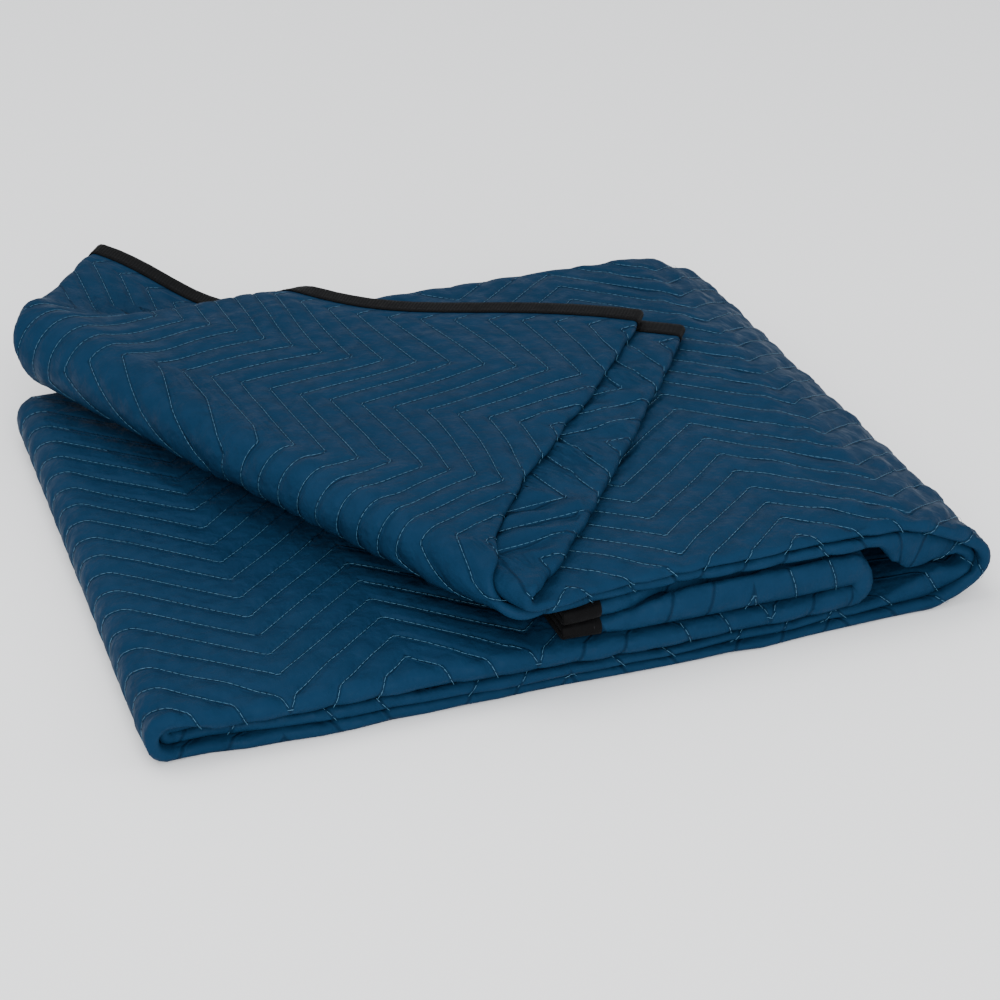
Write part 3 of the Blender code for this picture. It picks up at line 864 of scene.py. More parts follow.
class Materials:
    """The finishes as node materials."""

    def __init__(self, cloth: ClothFinish, tape: TapeFinish, thread: ThreadFinish,
                 quilting: Quilting) -> None:
        """Builds every material once."""
        self.groups = EffectGroups()
        self.quilting = quilting
        self.cloth = self.build_cloth(cloth)
        self.tape = self.build_tape(tape)
        self.thread = self.build_thread("quilting_thread", thread)
        self.tape_thread = self.build_thread("binding_thread", BINDING_THREAD)

    @staticmethod
    def new_material(name: str, surface: Surface) -> tuple:
        """Material with its shader and output, and no colour yet.

        Args:
            name: the material's name.
            surface: its reflection.

        Returns:
            The material, its desk, its shader node and the object's own coordinates.
        """
        made = bpy.data.materials.new(name)
        made.use_nodes = True
        made.node_tree.nodes.clear()
        desk = NodeDesk(made.node_tree)
        shader = desk.node("ShaderNodeBsdfPrincipled", {
            "IOR": surface.ior, "Specular IOR Level": surface.specular,
            "Sheen Weight": surface.sheen})
        desk.node("ShaderNodeOutputMaterial", {0: shader.outputs[0]})
        return made, desk, shader, desk.node("ShaderNodeTexCoord").outputs["Object"]

    @staticmethod
    def group(desk: NodeDesk, tree: bpy.types.NodeTree,
              **values: object) -> bpy.types.bpy_prop_collection:
        """Places a shared group, sets its inputs by name and gives its outputs."""
        return desk.node("ShaderNodeGroup", values, node_tree=tree).outputs

    def wear(self, desk: NodeDesk, place: bpy.types.NodeSocket, scale: float,
             low: float = 0.3, high: float = 0.7) -> bpy.types.NodeSocket:
        """Mask of soft patches of one size."""
        return self.group(desk, self.groups.wear, Place=place, Scale=scale, Low=low,
                          High=high)[0]

    @staticmethod
    def finish(desk: NodeDesk, shader: bpy.types.Node, surface: Surface,
               colour: bpy.types.NodeSocket, rough: bpy.types.NodeSocket,
               height: bpy.types.NodeSocket | None = None) -> None:
        """Feeds colour, roughness and relief to a shader.

        Args:
            desk: the material's desk.
            shader: its shader node.
            surface: its reflection and relief.
            colour: its colour.
            rough: value from 0 to 1 that its roughness follows.
            height: its relief, if it has any.
        """
        desk.feed(colour, shader.inputs["Base Color"])
        desk.feed(desk.scale_range(rough, 0.0, 1.0, *surface.roughness),
                  shader.inputs["Roughness"])
        if height is not None:
            strength, distance = surface.bump
            bump = desk.node("ShaderNodeBump", {"Strength": strength, "Distance": distance,
                                                "Height": height})
            desk.feed(bump.outputs[0], shader.inputs["Normal"])

    def build_cloth(self, finish: ClothFinish) -> bpy.types.Material:
        """Blue quilted shell: weave, grooves at the stitches with painted shade darkening them,
        puckers and soft patches.
        """
        made, desk, shader, place = self.new_material("blue_quilted_cloth", finish.surface)
        uv = desk.node("ShaderNodeUVMap", uv_map="quilting").outputs[0]
        rows = self.group(desk, self.groups.rows, Place=uv,
                          Period=self.quilting.period * METRES,
                          Height=self.quilting.height * METRES,
                          Spacing=self.quilting.spacing * METRES)
        weave = self.group(desk, self.groups.weave, Place=uv, Threads=finish.threads_per_metre)
        wear, fine, crumple = (self.wear(desk, place, scale) for scale in finish.wear_scales)
        colour = (*finish.base, 1.0)
        # Soft patches and mottle are random tone; the dark blend in the grooves at the stitches is
        # painted shade.
        for mask, share, other in ((wear, finish.patch_share, finish.pale),
                                   (rows["Groove"], finish.groove_shade_share, finish.dark),
                                   (fine, finish.mottle_share, finish.dark)):
            colour = desk.blend(desk.math("MULTIPLY", mask, share), colour, (*other, 1.0))
        height = desk.math("MULTIPLY", rows["Puckers"], finish.pucker_height)
        for value, share in ((weave[0], finish.weave_height),
                             (rows["Groove"], finish.groove_height),
                             (wear, finish.wear_height), (crumple, finish.crumple_height)):
            height = desk.math("MULTIPLY_ADD", value, share, height)
        self.finish(desk, shader, finish.surface, colour, fine, height)
        return made

    def build_tape(self, finish: TapeFinish) -> bpy.types.Material:
        """Black binding tape with fine ribs across it and rubbed edges."""
        made, desk, shader, place = self.new_material("black_binding_tape", finish.surface)
        uv = desk.node("ShaderNodeUVMap", uv_map="tape").outputs[0]
        split = desk.node("ShaderNodeSeparateXYZ", {0: uv})
        turn = finish.ribs_per_metre * 2.0 * math.pi
        ribs = desk.math("SINE", desk.math("MULTIPLY", split.outputs[0], turn))
        weave = self.group(desk, self.groups.weave, Place=uv, Threads=finish.threads_per_metre)
        wear = self.wear(desk, place, finish.wear_scale, *finish.wear_range)
        rubbed = desk.math("MULTIPLY", wear, finish.rubbed_share)
        colour = desk.blend(rubbed, (*finish.base, 1.0), (*finish.pale, 1.0))
        height = desk.math("MULTIPLY_ADD", ribs, finish.rib_height,
                           desk.math("MULTIPLY", weave[0], finish.weave_height))
        self.finish(desk, shader, finish.surface, colour, wear, height)
        return made

    def build_thread(self, name: str, finish: ThreadFinish) -> bpy.types.Material:
        """Twisted thread, a little uneven in colour."""
        made, desk, shader, place = self.new_material(name, finish.surface)
        wear = self.wear(desk, place, finish.wear_scale)
        colour = desk.blend(wear, (*finish.base, 1.0), (*finish.dark, 1.0))
        self.finish(desk, shader, finish.surface, colour, wear)
        return made


def add_object(name: str, data: bpy.types.ID | None) -> bpy.types.Object:
    """New object in the scene, at the origin."""
    made = bpy.data.objects.new(name, data)
    bpy.context.scene.collection.objects.link(made)
    return made


def smooth_piece(mesh: bpy.types.Mesh) -> bpy.types.Object:
    """Smooth-shaded piece, named as its mesh."""
    mesh.polygons.foreach_set("use_smooth", [True] * len(mesh.polygons))
    made = add_object(mesh.name, mesh)
    return made


def new_piece(name: str, points: Array, faces: list, finish: bpy.types.Material) -> bpy.types.Object:
    """Smooth-shaded mesh piece.

    Args:
        name: the piece's name.
        points: vertex places in metres.
        faces: vertex numbers of each face.
        finish: its material.

    Returns:
        The object, at the origin.
    """
    mesh = bpy.data.meshes.new(name)
    mesh.from_pydata(points.tolist(), [], faces)
    mesh.materials.append(finish)
    mesh.update()
    return smooth_piece(mesh)


def set_uv(piece: bpy.types.Object, name: str, places: Array) -> None:
    """Gives a piece a UV map from one place for each vertex."""
    mesh = piece.data
    layer = mesh.uv_layers.new(name=name)
    corners = np.zeros(len(mesh.loops), int)
    mesh.loops.foreach_get("vertex_index", corners)
    layer.data.foreach_set("uv", places[corners].astype(np.float32).ravel())


def zip_rows(first: list, second: list, flip: bool) -> list:
    """Triangles between two rows of vertices that are sorted by key.

    Args:
        first: pairs of key and vertex number.
        second: the following row.
        flip: whether the triangles face the other way.

    Returns:
        Vertex numbers of each triangle.
    """
    faces = []
    one = two = 0
    while one < len(first) - 1 or two < len(second) - 1:
        more_first = one < len(first) - 1
        more_second = two < len(second) - 1
        if more_first and more_second:
            next_first = math.inf if one + 2 == len(first) else first[one + 1][0]
            next_second = math.inf if two + 2 == len(second) else second[two + 1][0]
            take_first = next_first <= next_second
        else:
            take_first = more_first
        if take_first:
            faces.append((first[one][1], second[two][1], first[one + 1][1]))
            one += 1
        else:
            faces.append((first[one][1], second[two][1], second[two + 1][1]))
            two += 1
    return [face[::-1] for face in faces] if flip else faces


@dataclass
class QuiltedCloth:
    """The blanket's cloth: one closed sheet with quilted channels on the faces that show."""

    plan: FoldPlan
    quilting: Quilting
    creases: Creases
    materials: Materials
    half_cloth: float = 1.7
    bound_half: float = 1.0
    crown: float = 1.3
    loop_crown: float = 1.5
    crumple: float = 1.9
    rows_per_channel: int = 6
    # Cells along each run of the strip, places at the inner tape, and cells beyond the runs.
    cell_sizes: tuple[float, ...] = (22.0, 3.6, 6.0, 2.6, 22.0, 4.9, 5.0, 2.8, 5.6, 5.6)
    bound_places: tuple[float, ...] = (0.0, 12.5, 25.0, 31.0)
    bound_end: float = 36.0
    tape_gap: float = 6.0
    top_cells: int = 66
    roll_cells: tuple[int, int, int] = (4, 18, 4)
    flap_cells: int = 66
    loop_cells: int = 6
    back_cells: int = 8
    samples: int = 240
    border_gap: float = 1.2
    least_shown: float = 0.02
    ledge: float = 60.0
    # Lines kept where nothing shows: one in so many, and more of them near the flap's end.
    coarse_rows: int = 8
    end_rows: tuple[tuple[float, int], ...] = ((42.0, 2), (160.0, 4))
    # Where relief and creases start to show, and over what share they grow.
    relief_shown: Pair = (0.1, 0.7)
    crease_shown: Pair = (0.4, 0.5)
    crown_level: float = 0.25
    loop_crown_level: float = 0.55
    # Reach and run of the loops' relief: before and beyond a loop, and at both tapes.
    loop_margins: tuple[Pair, Pair] = ((4.0, 4.0), (2.0, 3.0))
    loop_ends: tuple[Pair, Pair] = ((6.0, 8.0), (30.0, 10.0))
    # Where the crumples are: front edges, arcs of the roll, its back, and the right end.
    front_reach: float = 42.0
    roll_crumpled: Triple = (0.6, 2.9, 24.0)
    roll_back: Pair = (0.8, 90.0)
    nose_crumpled: Pair = (20.0, 50.0)
    # Their strength everywhere, at the front edges, on the roll, the right end and the ledge.
    crumple_shares: tuple[float, ...] = (0.12, 0.45, 0.5, 0.6, 0.9)
    most_crumpled: float = 1.2
    short_crumple: float = 0.6
    # Fades of the flat stretches, which alone have creases.
    flat_fade: float = 20.0
    top_fade: float = 40.0
    roll_flat: Pair = (2.4, 30.0)
    bound_flat: Pair = (27.0, 15.0)
    edge_gap: float = 4.0

    def level_stations(self) -> list[tuple[float, bool]]:
        """Stations of the wrapped length: distance along, and whether the inner face has one."""
        ends = [row[0] for row in self.plan.pieces] + [self.plan.top_start]
        kept = [(place, True) for place in self.bound_places]
        for size, start, end in zip(self.cell_sizes, ends, ends[1:]):
            count = max(1, round((end - start) / size))
            for cell in range(count):
                along = start + (end - start) * cell / count
                if along > self.bound_end:
                    kept.append((along, cell % 2 == 0))
        return kept

    def stations(self) -> list[tuple[Station, bool]]:
        """All stations: distance along as a function of depth, and the inner face's flag."""
        plan = self.plan
        last = plan.length - plan.tape_widths[1] - self.tape_gap

        def level(value: float) -> Station:
            """Station at one distance along."""
            return lambda depth: np.full_like(depth, value)

        def fold(arcs: float) -> Station:
            """Station at one share of the oblique fold's arcs."""
            return lambda depth: plan.fold_along(depth, arcs)

        def between(first: Station, second: Station, count: int) -> list[tuple]:
            """Stations from one to another, of which the inner face has each third."""
            return [(lambda depth, share=cell / count: mix(first(depth), second(depth), share),
                     cell % 3 == 0) for cell in range(count)]

        rows = [(level(value), keep) for value, keep in self.level_stations()]
        rows += between(level(plan.top_start), fold(0.0), self.top_cells)
        rows += [(fold(piece + cell / count), cell % 2 == 0)
                 for piece, count in enumerate(self.roll_cells) for cell in range(count)]
        rows += between(fold(3.0), level(last), self.flap_cells)
        rows += [(level(value), True) for value in (
            last, last + 0.5 * self.tape_gap, last + self.tape_gap,
            plan.length - 0.5 * plan.tape_widths[1], plan.length)]
        return rows

    def zones(self) -> tuple:
        """Zones across the cloth: first and last place, and cells, or none for a quilted flat."""
        plan = self.plan
        half = ((0.0, plan.back_quarter, self.back_cells // 2),
                (plan.back_quarter, plan.loop_start, None),
                (plan.loop_start, plan.loop_end, self.loop_cells),
                (plan.loop_end, plan.half_width, None))
        mirrored = tuple((-last, -first, cells) for first, last, cells in reversed(half))
        return mirrored + half

    def flat_places(self, station: Station, first: float, last: float,
                    fine: bool) -> tuple[list, list]:
        """Places of the quilted channels' lines at one station.

        Args:
            station: the station's function of depth.
            first: one border across the cloth.
            last: the other border.
            fine: whether the lines of the channels are wanted.

        Returns:
            Keys and places, the borders included.
        """
        samples = np.linspace(first, last, self.samples)
        along = station(self.plan.line_depth(samples))
        rows = self.quilting.row(along, samples)
        step = 1.0 / self.rows_per_channel
        numbers = np.arange(math.ceil(rows[0] / step), math.floor(rows[-1] / step) + 1)
        places = np.interp(numbers * step, rows, samples)
        shown = np.interp(places, samples, self.quilting.open_to_view(along, samples))
        from_end = self.plan.length - float(along.min())
        coarse = next((rows for reach, rows in self.end_rows if from_end < reach),
                      self.coarse_rows)
        keep = numbers % coarse == 0
        keep |= (shown > self.least_shown) & fine
        keep &= (places > first + self.border_gap) & (places < last - self.border_gap)
        keys = [-math.inf] + (numbers[keep] * step).tolist() + [math.inf]
        return keys, [first] + places[keep].tolist() + [last]

    def face_rows(self, fine: bool) -> list[list]:
        """Rows of vertices for one face of the sheet.

        Args:
            fine: whether this is the outer face.

        Returns:
            For each station, lists of keys, places across and distances along by zone.
        """
        rows = []
        for station, keep in self.stations():
            if not fine and not keep:
                continue
            zones = []
            for first, last, cells in self.zones():
                if cells is None:
                    keys, places = self.flat_places(station, first, last, fine)
                else:
                    count = cells if fine else max(2, cells // 2)
                    places = np.linspace(first, last, count + 1).tolist()
                    keys = list(range(count + 1))
                across = np.array(places)
                zones.append((keys, across, station(self.plan.line_depth(across))))
            rows.append(zones)
        return rows

    def half_thickness(self, along: Array) -> Array:
        """Half the cloth's thickness: pressed thin inside the binding."""
        inner, flap = self.plan.tape_widths
        free = np.minimum(along - inner, self.plan.length - flap - along)
        return mix(self.bound_half, self.half_cloth, smooth(free / self.tape_gap))

    def outer_lift(self, along: Array, across: Array) -> Array:
        """Lift of the outer face: half the cloth, and the crowns of the channels."""
        part = self.quilting.row(along, across)
        part = part - np.floor(part)
        crown = np.sqrt(np.maximum(0.0, 1.0 - (2.0 * part - 1.0) ** 2))
        shown = ramp_up(self.quilting.open_to_view(along, across), *self.relief_shown)
        distance = np.abs(across)
        plan = self.plan
        (before, before_run), (beyond, beyond_run) = self.loop_margins
        (inner_gap, inner_run), (flap_gap, flap_run) = self.loop_ends
        loop = (ramp_up(distance, plan.loop_start - before, before_run)
                * ramp_down(distance, plan.loop_end + beyond, beyond_run)
                * ramp_up(along, plan.tape_widths[0] + inner_gap, inner_run)
                * ramp_down(along, plan.length - flap_gap, flap_run))
        relief = self.crown * (crown - self.crown_level) * shown
        pinched = self.loop_crown * (crown - self.loop_crown_level) * loop
        relief = np.where(loop > shown, pinched, relief)
        return self.half_thickness(along) + relief + self.crumples(along, across) * shown

    def crumples(self, along: Array, across: Array) -> Array:
        """Small soft crumples, strongest on the roll, the ledge, the nose and the front edges."""
        plan = self.plan
        depth = plan.loop_start - np.abs(across)
        behind = np.maximum(depth, 0.0)
        front = 1.0 - smooth(depth / self.front_reach)
        first, last, fade = self.roll_crumpled
        back, back_run = self.roll_back
        roll = (ramp_up(along, plan.fold_along(behind, first), fade)
                * ramp_down(along, plan.fold_along(behind, last), fade)
                * ramp_down(depth, back * plan.strip_depth, back_run))
        nose_in, nose_out = self.nose_crumpled
        nose = (ramp_up(along, plan.start(Run.RIGHT_FOOT), nose_in)
                * ramp_down(along, plan.top_start + nose_out, nose_out))
        ledge = np.where(across < -plan.loop_end, 1.0, 0.0)
        parts = (1.0, front, roll, nose, ledge)
        share = np.clip(sum(part * most for part, most in zip(parts, self.crumple_shares)),
                        0.0, self.most_crumpled)
        # Two sets of waves: the divisors are wavelengths, and the inner sines bend the crests.
        long = np.sin(along / 6.3 + 1.6 * np.sin(across / 17.0)) * np.sin(
            across / 10.3 + 1.4 * np.sin(along / 23.0))
        short = np.sin(along / 4.1 - across / 9.0 + 1.2 * np.sin(across / 13.0)) * np.sin(
            along / 31.0 + across / 7.0)
        return self.crumple * share * (long + self.short_crumple * short)

    def number_rows(self, rows: list, start: int) -> tuple:
        """Numbers the vertices of one face.

        Args:
            rows: the face's rows.
            start: the first number.

        Returns:
            Rows of zones of pairs of key and number, and the flat arrays along and across.
        """
        numbered = []
        along_all, across_all = [], []
        count = start
        for zones in rows:
            numbered_zones = []
            for index, (keys, across, along) in enumerate(zones):
                first = 0 if index == 0 else 1
                pairs = [] if index == 0 else [(keys[0], count - 1)]
                for key, place, distance in zip(keys[first:], across[first:], along[first:]):
                    pairs.append((key, count))
                    along_all.append(distance)
                    across_all.append(place)
                    count += 1
                numbered_zones.append(pairs)
            numbered.append(numbered_zones)
        return numbered, np.array(along_all), np.array(across_all)

    @staticmethod
    def row_line(zones: list) -> list:
        """Numbers of all vertices of one station, in their order."""
        line = [number for pairs in zones for _key, number in pairs[:-1]]
        return line + [zones[-1][-1][1]]

    def build(self) -> bpy.types.Object:
        """Builds the sheet with its UV map and material."""
        outer, along, across = self.number_rows(self.face_rows(True), 0)
        count = len(along)
        inner, inner_along, inner_across = self.number_rows(self.face_rows(False), count)
        outer_points = self.plan.place(along, across, self.outer_lift(along, across))
        outer_points[:, 2] += self.crease_rise(outer_points, along, across)
        inner_points = self.plan.place(inner_along, inner_across,
                                       -self.half_thickness(inner_along))
        all_along = np.concatenate([along, inner_along])
        all_across = np.concatenate([across, inner_across])
        faces = [face for rows, flip in ((outer, False), (inner, True))
                 for zones, following in zip(rows, rows[1:])
                 for first, second in zip(zones, following)
                 for face in zip_rows(first, second, flip)]
        faces += self.rim(outer, inner, all_along, all_across)
        points = np.concatenate([outer_points, inner_points])
        piece = new_piece("quilted_cloth_sheet", points, faces, self.materials.cloth)
        places = np.stack([self.quilting.phase(all_along) * self.quilting.period,
                           self.quilting.unrolled(all_along, all_across)], axis=-1) * METRES
        set_uv(piece, "quilting", places)
        return piece

    def crease_rise(self, points: Array, along: Array,
                    across: Array) -> Array:
        """How far the creases raise points of the outer face, in metres."""
        shown = self.quilting.open_to_view(along, across)
        return (self.creases.height(points) * ramp_up(shown, *self.crease_shown)
                * self.flatness(along, across))

    def flatness(self, along: Array, across: Array) -> Array:
        """1 where the outer face lies flat on the pile, and 0 on its bends."""
        plan = self.plan
        distance = np.abs(across)
        flat = np.where(along < plan.start(Run.RAMP),
                        ramp_down(along, plan.start(Run.LEFT_TURN), self.flat_fade),
                        ramp_up(along, plan.top_start, self.top_fade))
        arcs, roll_run = self.roll_flat
        past = plan.fold_along(plan.line_depth(across), arcs)
        roll = np.where(across < 0.0, 1.0, ramp_up(along, past, roll_run))
        bound, bound_run = self.bound_flat
        return (flat * roll * ramp_down(along, plan.length - bound, bound_run)
                * ramp_down(distance, plan.loop_start - self.edge_gap, self.flat_fade)
                * ramp_up(distance, plan.back_quarter, self.flat_fade))

    def rim(self, outer: list, inner: list, along: Array, across: Array) -> list:
        """Faces that close the sheet between its two faces, all round.

        Args:
            outer: numbered rows of the outer face.
            inner: numbered rows of the inner face.
            along: distances along of all vertices.
            across: places across of all vertices.

        Returns:
            Vertex numbers of each face.
        """
        borders = [(across, [self.row_line(rows[end]) for rows in (outer, inner)], end == 0)
                   for end in (0, -1)]
        borders += [(along, [[zones[end][end][1] for zones in rows] for rows in (outer, inner)],
                     end == -1) for end in (0, -1)]
        faces = []
        for keys, lines, flip in borders:
            first, second = ([(float(keys[number]), number) for number in line]
                             for line in lines)
            faces += zip_rows(first, second, flip)
        return faces


@dataclass
class BindingTape:
    """Tape folded over one end of the cloth, from side to side."""

    plan: FoldPlan
    materials: Materials
    name: str
    end: float
    way: float
    width: float
    inside: float = 1.3
    tape: float = 0.55
    reach: float = 0.85
    steps: int = 5
    nose: tuple[Pair, ...] = ((0.0, 1.0), (0.75, 0.8), (1.0, 0.3))
    overlap: float = 0.3
    cells: tuple[int, int, int, int] = (4, 63, 6, 59)
    ripple: Triple = (0.12, 3.1, 11.0)
    least_lift: float = 0.1
    straight: float = 4.0

    def profile(self) -> list[tuple[float, float]]:
        """Closed outline of the tape: distance beyond the cloth's end, and lift."""
        outside = self.inside + self.tape
        legs = [(-self.width * (1.0 - step / self.steps), outside)
                for step in range(self.steps)]
        nose = [(self.reach * out, outside * up) for out, up in self.nose]
        nose += [(out, -up) for out, up in reversed(nose)]
        back = [(-self.width * step / self.steps, -outside) for step in range(1, self.steps + 1)]
        hidden = [(place, -self.inside)
                  for place in (-self.width, -0.5 * self.width, self.overlap)]
        hidden += [(place, -up) for place, up in reversed(hidden)]
        return legs + nose + back + hidden

    def across_places(self) -> Array:
        """Places across the cloth where the tape has an outline."""
        plan = self.plan
        ends = (0.0, plan.back_quarter, plan.loop_start, plan.loop_end, plan.half_width)
        half = np.concatenate([np.linspace(first, last, count + 1)[:-1] for first, last, count
                               in zip(ends, ends[1:], self.cells)] + [[plan.half_width]])
        return np.concatenate([-half[:0:-1], half])

    def surface(self, beyond: Array, across: Array, lift: Array) -> Array:
        """Points on the tape, carried straight on past the cloth's end."""
        held = np.minimum(beyond, 0.0)
        points = self.plan.place(self.end + self.way * held, across, lift)
        edge = self.plan.place(self.end, across, lift)
        back = self.plan.place(self.end - self.way * self.straight, across, lift)
        return points + (edge - back) * (np.maximum(beyond, 0.0) / self.straight)[:, None]

    def build(self) -> bpy.types.Object:
        """Builds the tape with its UV map and material."""
        outline = self.profile()
        places = self.across_places()
        count = len(outline)
        across = np.repeat(places, count)
        beyond = np.tile([row[0] for row in outline], len(places))
        lift = np.tile([row[1] for row in outline], len(places))
        height, short, long = self.ripple
        ripple = height * np.sin(across / short) * np.sin(across / long)
        visible = np.where(np.abs(lift) > self.inside + self.least_lift,
                           ripple * np.sign(lift), 0.0)
        points = self.surface(beyond, across, lift + visible)
        faces = []
        for row in range(len(places) - 1):
            for index in range(count):
                after = (index + 1) % count
                corner = row * count
                face = (corner + index, corner + count + index, corner + count + after,
                        corner + after)
                faces.append(face if self.way > 0.0 else face[::-1])
        first = list(range(count))
        last = [number + (len(places) - 1) * count for number in first]
        faces.append(tuple(first if self.way > 0.0 else first[::-1]))
        faces.append(tuple(last[::-1] if self.way > 0.0 else last))
        piece = new_piece(self.name, points, faces, self.materials.tape)
        run = np.cumsum([0.0] + [math.hypot(b[0] - a[0], b[1] - a[1])
                                 for a, b in zip(outline, outline[1:])])
        uv = np.stack([across, np.tile(run, len(places))], axis=-1) * METRES
        set_uv(piece, "tape", uv)
        return piece


class StitchTree:
    """Geometry Nodes tree that lays thread stitches along paths."""

    def __init__(self, name: str) -> None:
        """Builds the tree with its named inputs."""
        tree = bpy.data.node_groups.new(name, "GeometryNodeTree")
        face = tree.interface
        face.new_socket("Geometry", in_out="INPUT", socket_type="NodeSocketGeometry")
        self.ids = {}
        for title, kind in (("Stitch Pitch", "Float"), ("Stitch Length", "Float"),
                            ("Thread Radius", "Float"), ("Unevenness", "Float"),
                            ("Seed", "Int"), ("Thread", "Material")):
            made = face.new_socket(title, in_out="INPUT", socket_type="NodeSocket" + kind)
            self.ids[title] = made.identifier
        face.new_socket("Geometry", in_out="OUTPUT", socket_type="NodeSocketGeometry")
        self.tree = tree
        desk = NodeDesk(tree)
        given = desk.node("NodeGroupInput").outputs
        curve = desk.node("GeometryNodeMeshToCurve", {0: given["Geometry"]})
        spaced = desk.node("GeometryNodeResampleCurve", {
            "Curve": curve.outputs[0], "Length": given["Stitch Pitch"]}, mode="LENGTH")
        thread = desk.node("GeometryNodeMeshUVSphere",
                           {"Segments": 5, "Rings": 4, "Radius": 1.0})
        tangent = desk.node("GeometryNodeInputTangent")
        turn = desk.node("FunctionNodeAlignRotationToVector", {"Vector": tangent.outputs[0]},
                         axis="Z")
        uneven = desk.node("FunctionNodeRandomValue", {"Seed": given["Seed"]},
                           data_type="FLOAT")
        least, most = [socket for socket in uneven.inputs if socket.type == "VALUE"][:2]
        desk.feed(desk.math("SUBTRACT", 1.0, given["Unevenness"]), least)
        desk.feed(1.0, most)
        number = next(socket for socket in uneven.outputs if socket.type == "VALUE")
        size = desk.node("ShaderNodeCombineXYZ", {
            0: given["Thread Radius"], 1: given["Thread Radius"],
            2: desk.math("MULTIPLY", given["Stitch Length"], number)})
        placed = desk.node("GeometryNodeInstanceOnPoints", {
            "Points": spaced.outputs[0], "Instance": thread.outputs["Mesh"],
            "Rotation": turn.outputs[0], "Scale": size.outputs[0]})
        real = desk.node("GeometryNodeRealizeInstances", {0: placed.outputs[0]})
        finish = desk.node("GeometryNodeSetMaterial", {
            "Geometry": real.outputs[0], "Material": given["Thread"]})
        desk.node("NodeGroupOutput", {0: finish.outputs[0]})

    def lay(self, name: str, paths: list[Array], values: dict[str, object]) -> bpy.types.Object:
        """Lays stitches along paths and makes them one plain mesh.

        Args:
            name: the piece's name.
            paths: points of each path, in metres.
            values: the tree's inputs by name.

        Returns:
            The piece.
        """
        points, edges = [], []
        for path in paths:
            start = len(points)
            points += path.tolist()
            edges += [(start + step, start + step + 1) for step in range(len(path) - 1)]
        mesh = bpy.data.meshes.new(name + "_paths")
        mesh.from_pydata(points, edges, [])
        guide = add_object(name + "_paths", mesh)
        modifier = guide.modifiers.new("stitches", "NODES")
        modifier.node_group = self.tree
        for title, value in values.items():
            modifier[self.ids[title]] = value
        seen = guide.evaluated_get(bpy.context.evaluated_depsgraph_get())
        laid = bpy.data.meshes.new_from_object(seen)
        guide.modifiers.remove(modifier)
        bpy.data.objects.remove(guide, do_unlink=True)
        laid.name = name
        return smooth_piece(laid)


@dataclass
class StitchRows:
    """Stitches of the quilting and of the binding."""

    plan: FoldPlan
    quilting: Quilting
    cloth: QuiltedCloth
    materials: Materials
    pitch: float = 4.4
    stitch: float = 5.0
    radius: float = 0.16
    clearance: float = 0.13
    edge_level: float = 0.4
    lowest: float = 2.6
    step: float = 2.0
    unevenness: float = 0.2
    seed: int = 3
    tape_gap: float = 8.0
    least_shown: float = 0.5
    least_points: int = 4
    edge_reach: Pair = (10.0, 5.0)
    loop_gap: float = 1.0
    extra_rows: tuple[float, int, int] = (40.0, 4, 40)
    seam_pitch: float = 3.6
    seam_stitch: float = 2.4
    seam_reach: float = 60.0
    seam_step: float = 2.5
    seam_in: float = 5.0
    seam_clearance: float = 0.1

    def runs(self, along: Array, across: Array, keep: Array,
             lift: Array) -> list[Array]:
        """Cuts one line into the runs that show.

        Args:
            along: distances along of its points.
            across: places across of its points.
            keep: which points show.
            lift: lift of its points.

        Returns:
            Points of each run, in metres.
        """
        points = self.plan.place(along, across, lift)
        points[:, 2] += self.cloth.crease_rise(points, along, across)
        keep = keep & (points[:, 2] > self.lowest * METRES)
        paths = []
        start = None
        for index, kept in enumerate(np.append(keep, False)):
            if kept and start is None:
                start = index
            elif not kept and start is not None:
                if index - start >= self.least_points:
                    paths.append(points[start:index])
                start = None
        return paths

    def quilting_paths(self) -> list[Array]:
        """Paths of the zigzag rows, where they show."""
        plan, quilting = self.plan, self.quilting
        along = np.arange(plan.tape_widths[0] + self.tape_gap,
                          plan.length - plan.tape_widths[1] - self.tape_gap, self.step)
        phase = quilting.phase(along)
        base = quilting.unrolled(along, np.zeros_like(along))
        paths = []
        margin, before, beyond = self.extra_rows
        lowest = math.floor((-plan.loop_end - margin) / quilting.spacing)
        gap, run = self.edge_reach
        for number in range(lowest - before, -lowest + beyond):
            across = (number * quilting.spacing + quilting.height * quilting.zigzag(phase)
                      - base)
            keep = across > -plan.loop_end - self.cloth.ledge
            keep &= across < plan.loop_end - self.loop_gap
            shown = quilting.open_to_view(along, across)
            distance = np.abs(across)
            loops = (distance > plan.loop_start) & (distance < plan.loop_end - self.loop_gap)
            keep &= (shown > self.least_shown) | loops
            near = ramp_up(distance, plan.loop_start - gap, run)
            level = self.cloth.half_cloth + self.edge_level * near
            lift = np.maximum(self.cloth.outer_lift(along, across), level) + self.clearance
            paths += self.runs(along, across, keep, lift)
        return paths

    def binding_paths(self, tape: BindingTape) -> list[Array]:
        """Path of the seam near the tape's inner edge, on its outer side."""
        reach = self.plan.loop_end + self.seam_reach
        across = np.arange(-reach, reach, self.seam_step)
        beyond = np.full_like(across, self.seam_in - tape.width)
        lift = np.full_like(across, tape.inside + tape.tape + self.seam_clearance)
        return [tape.surface(beyond, across, lift)]

    def build(self, tapes: list[BindingTape]) -> list[bpy.types.Object]:
        """Lays all stitches."""
        tree = StitchTree("thread_stitches")
        values = {"Stitch Pitch": self.pitch * METRES,
                  "Stitch Length": 0.5 * self.stitch * METRES,
                  "Thread Radius": self.radius * METRES, "Unevenness": self.unevenness,
                  "Seed": self.seed, "Thread": self.materials.thread}
        seam = values | {"Stitch Pitch": self.seam_pitch * METRES,
                         "Stitch Length": 0.5 * self.seam_stitch * METRES,
                         "Thread": self.materials.tape_thread}
        pieces = [tree.lay("quilting_stitches", self.quilting_paths(), values)]
        pieces += [tree.lay(tape.name + "_seam", self.binding_paths(tape), seam)
                   for tape in tapes]
        return pieces


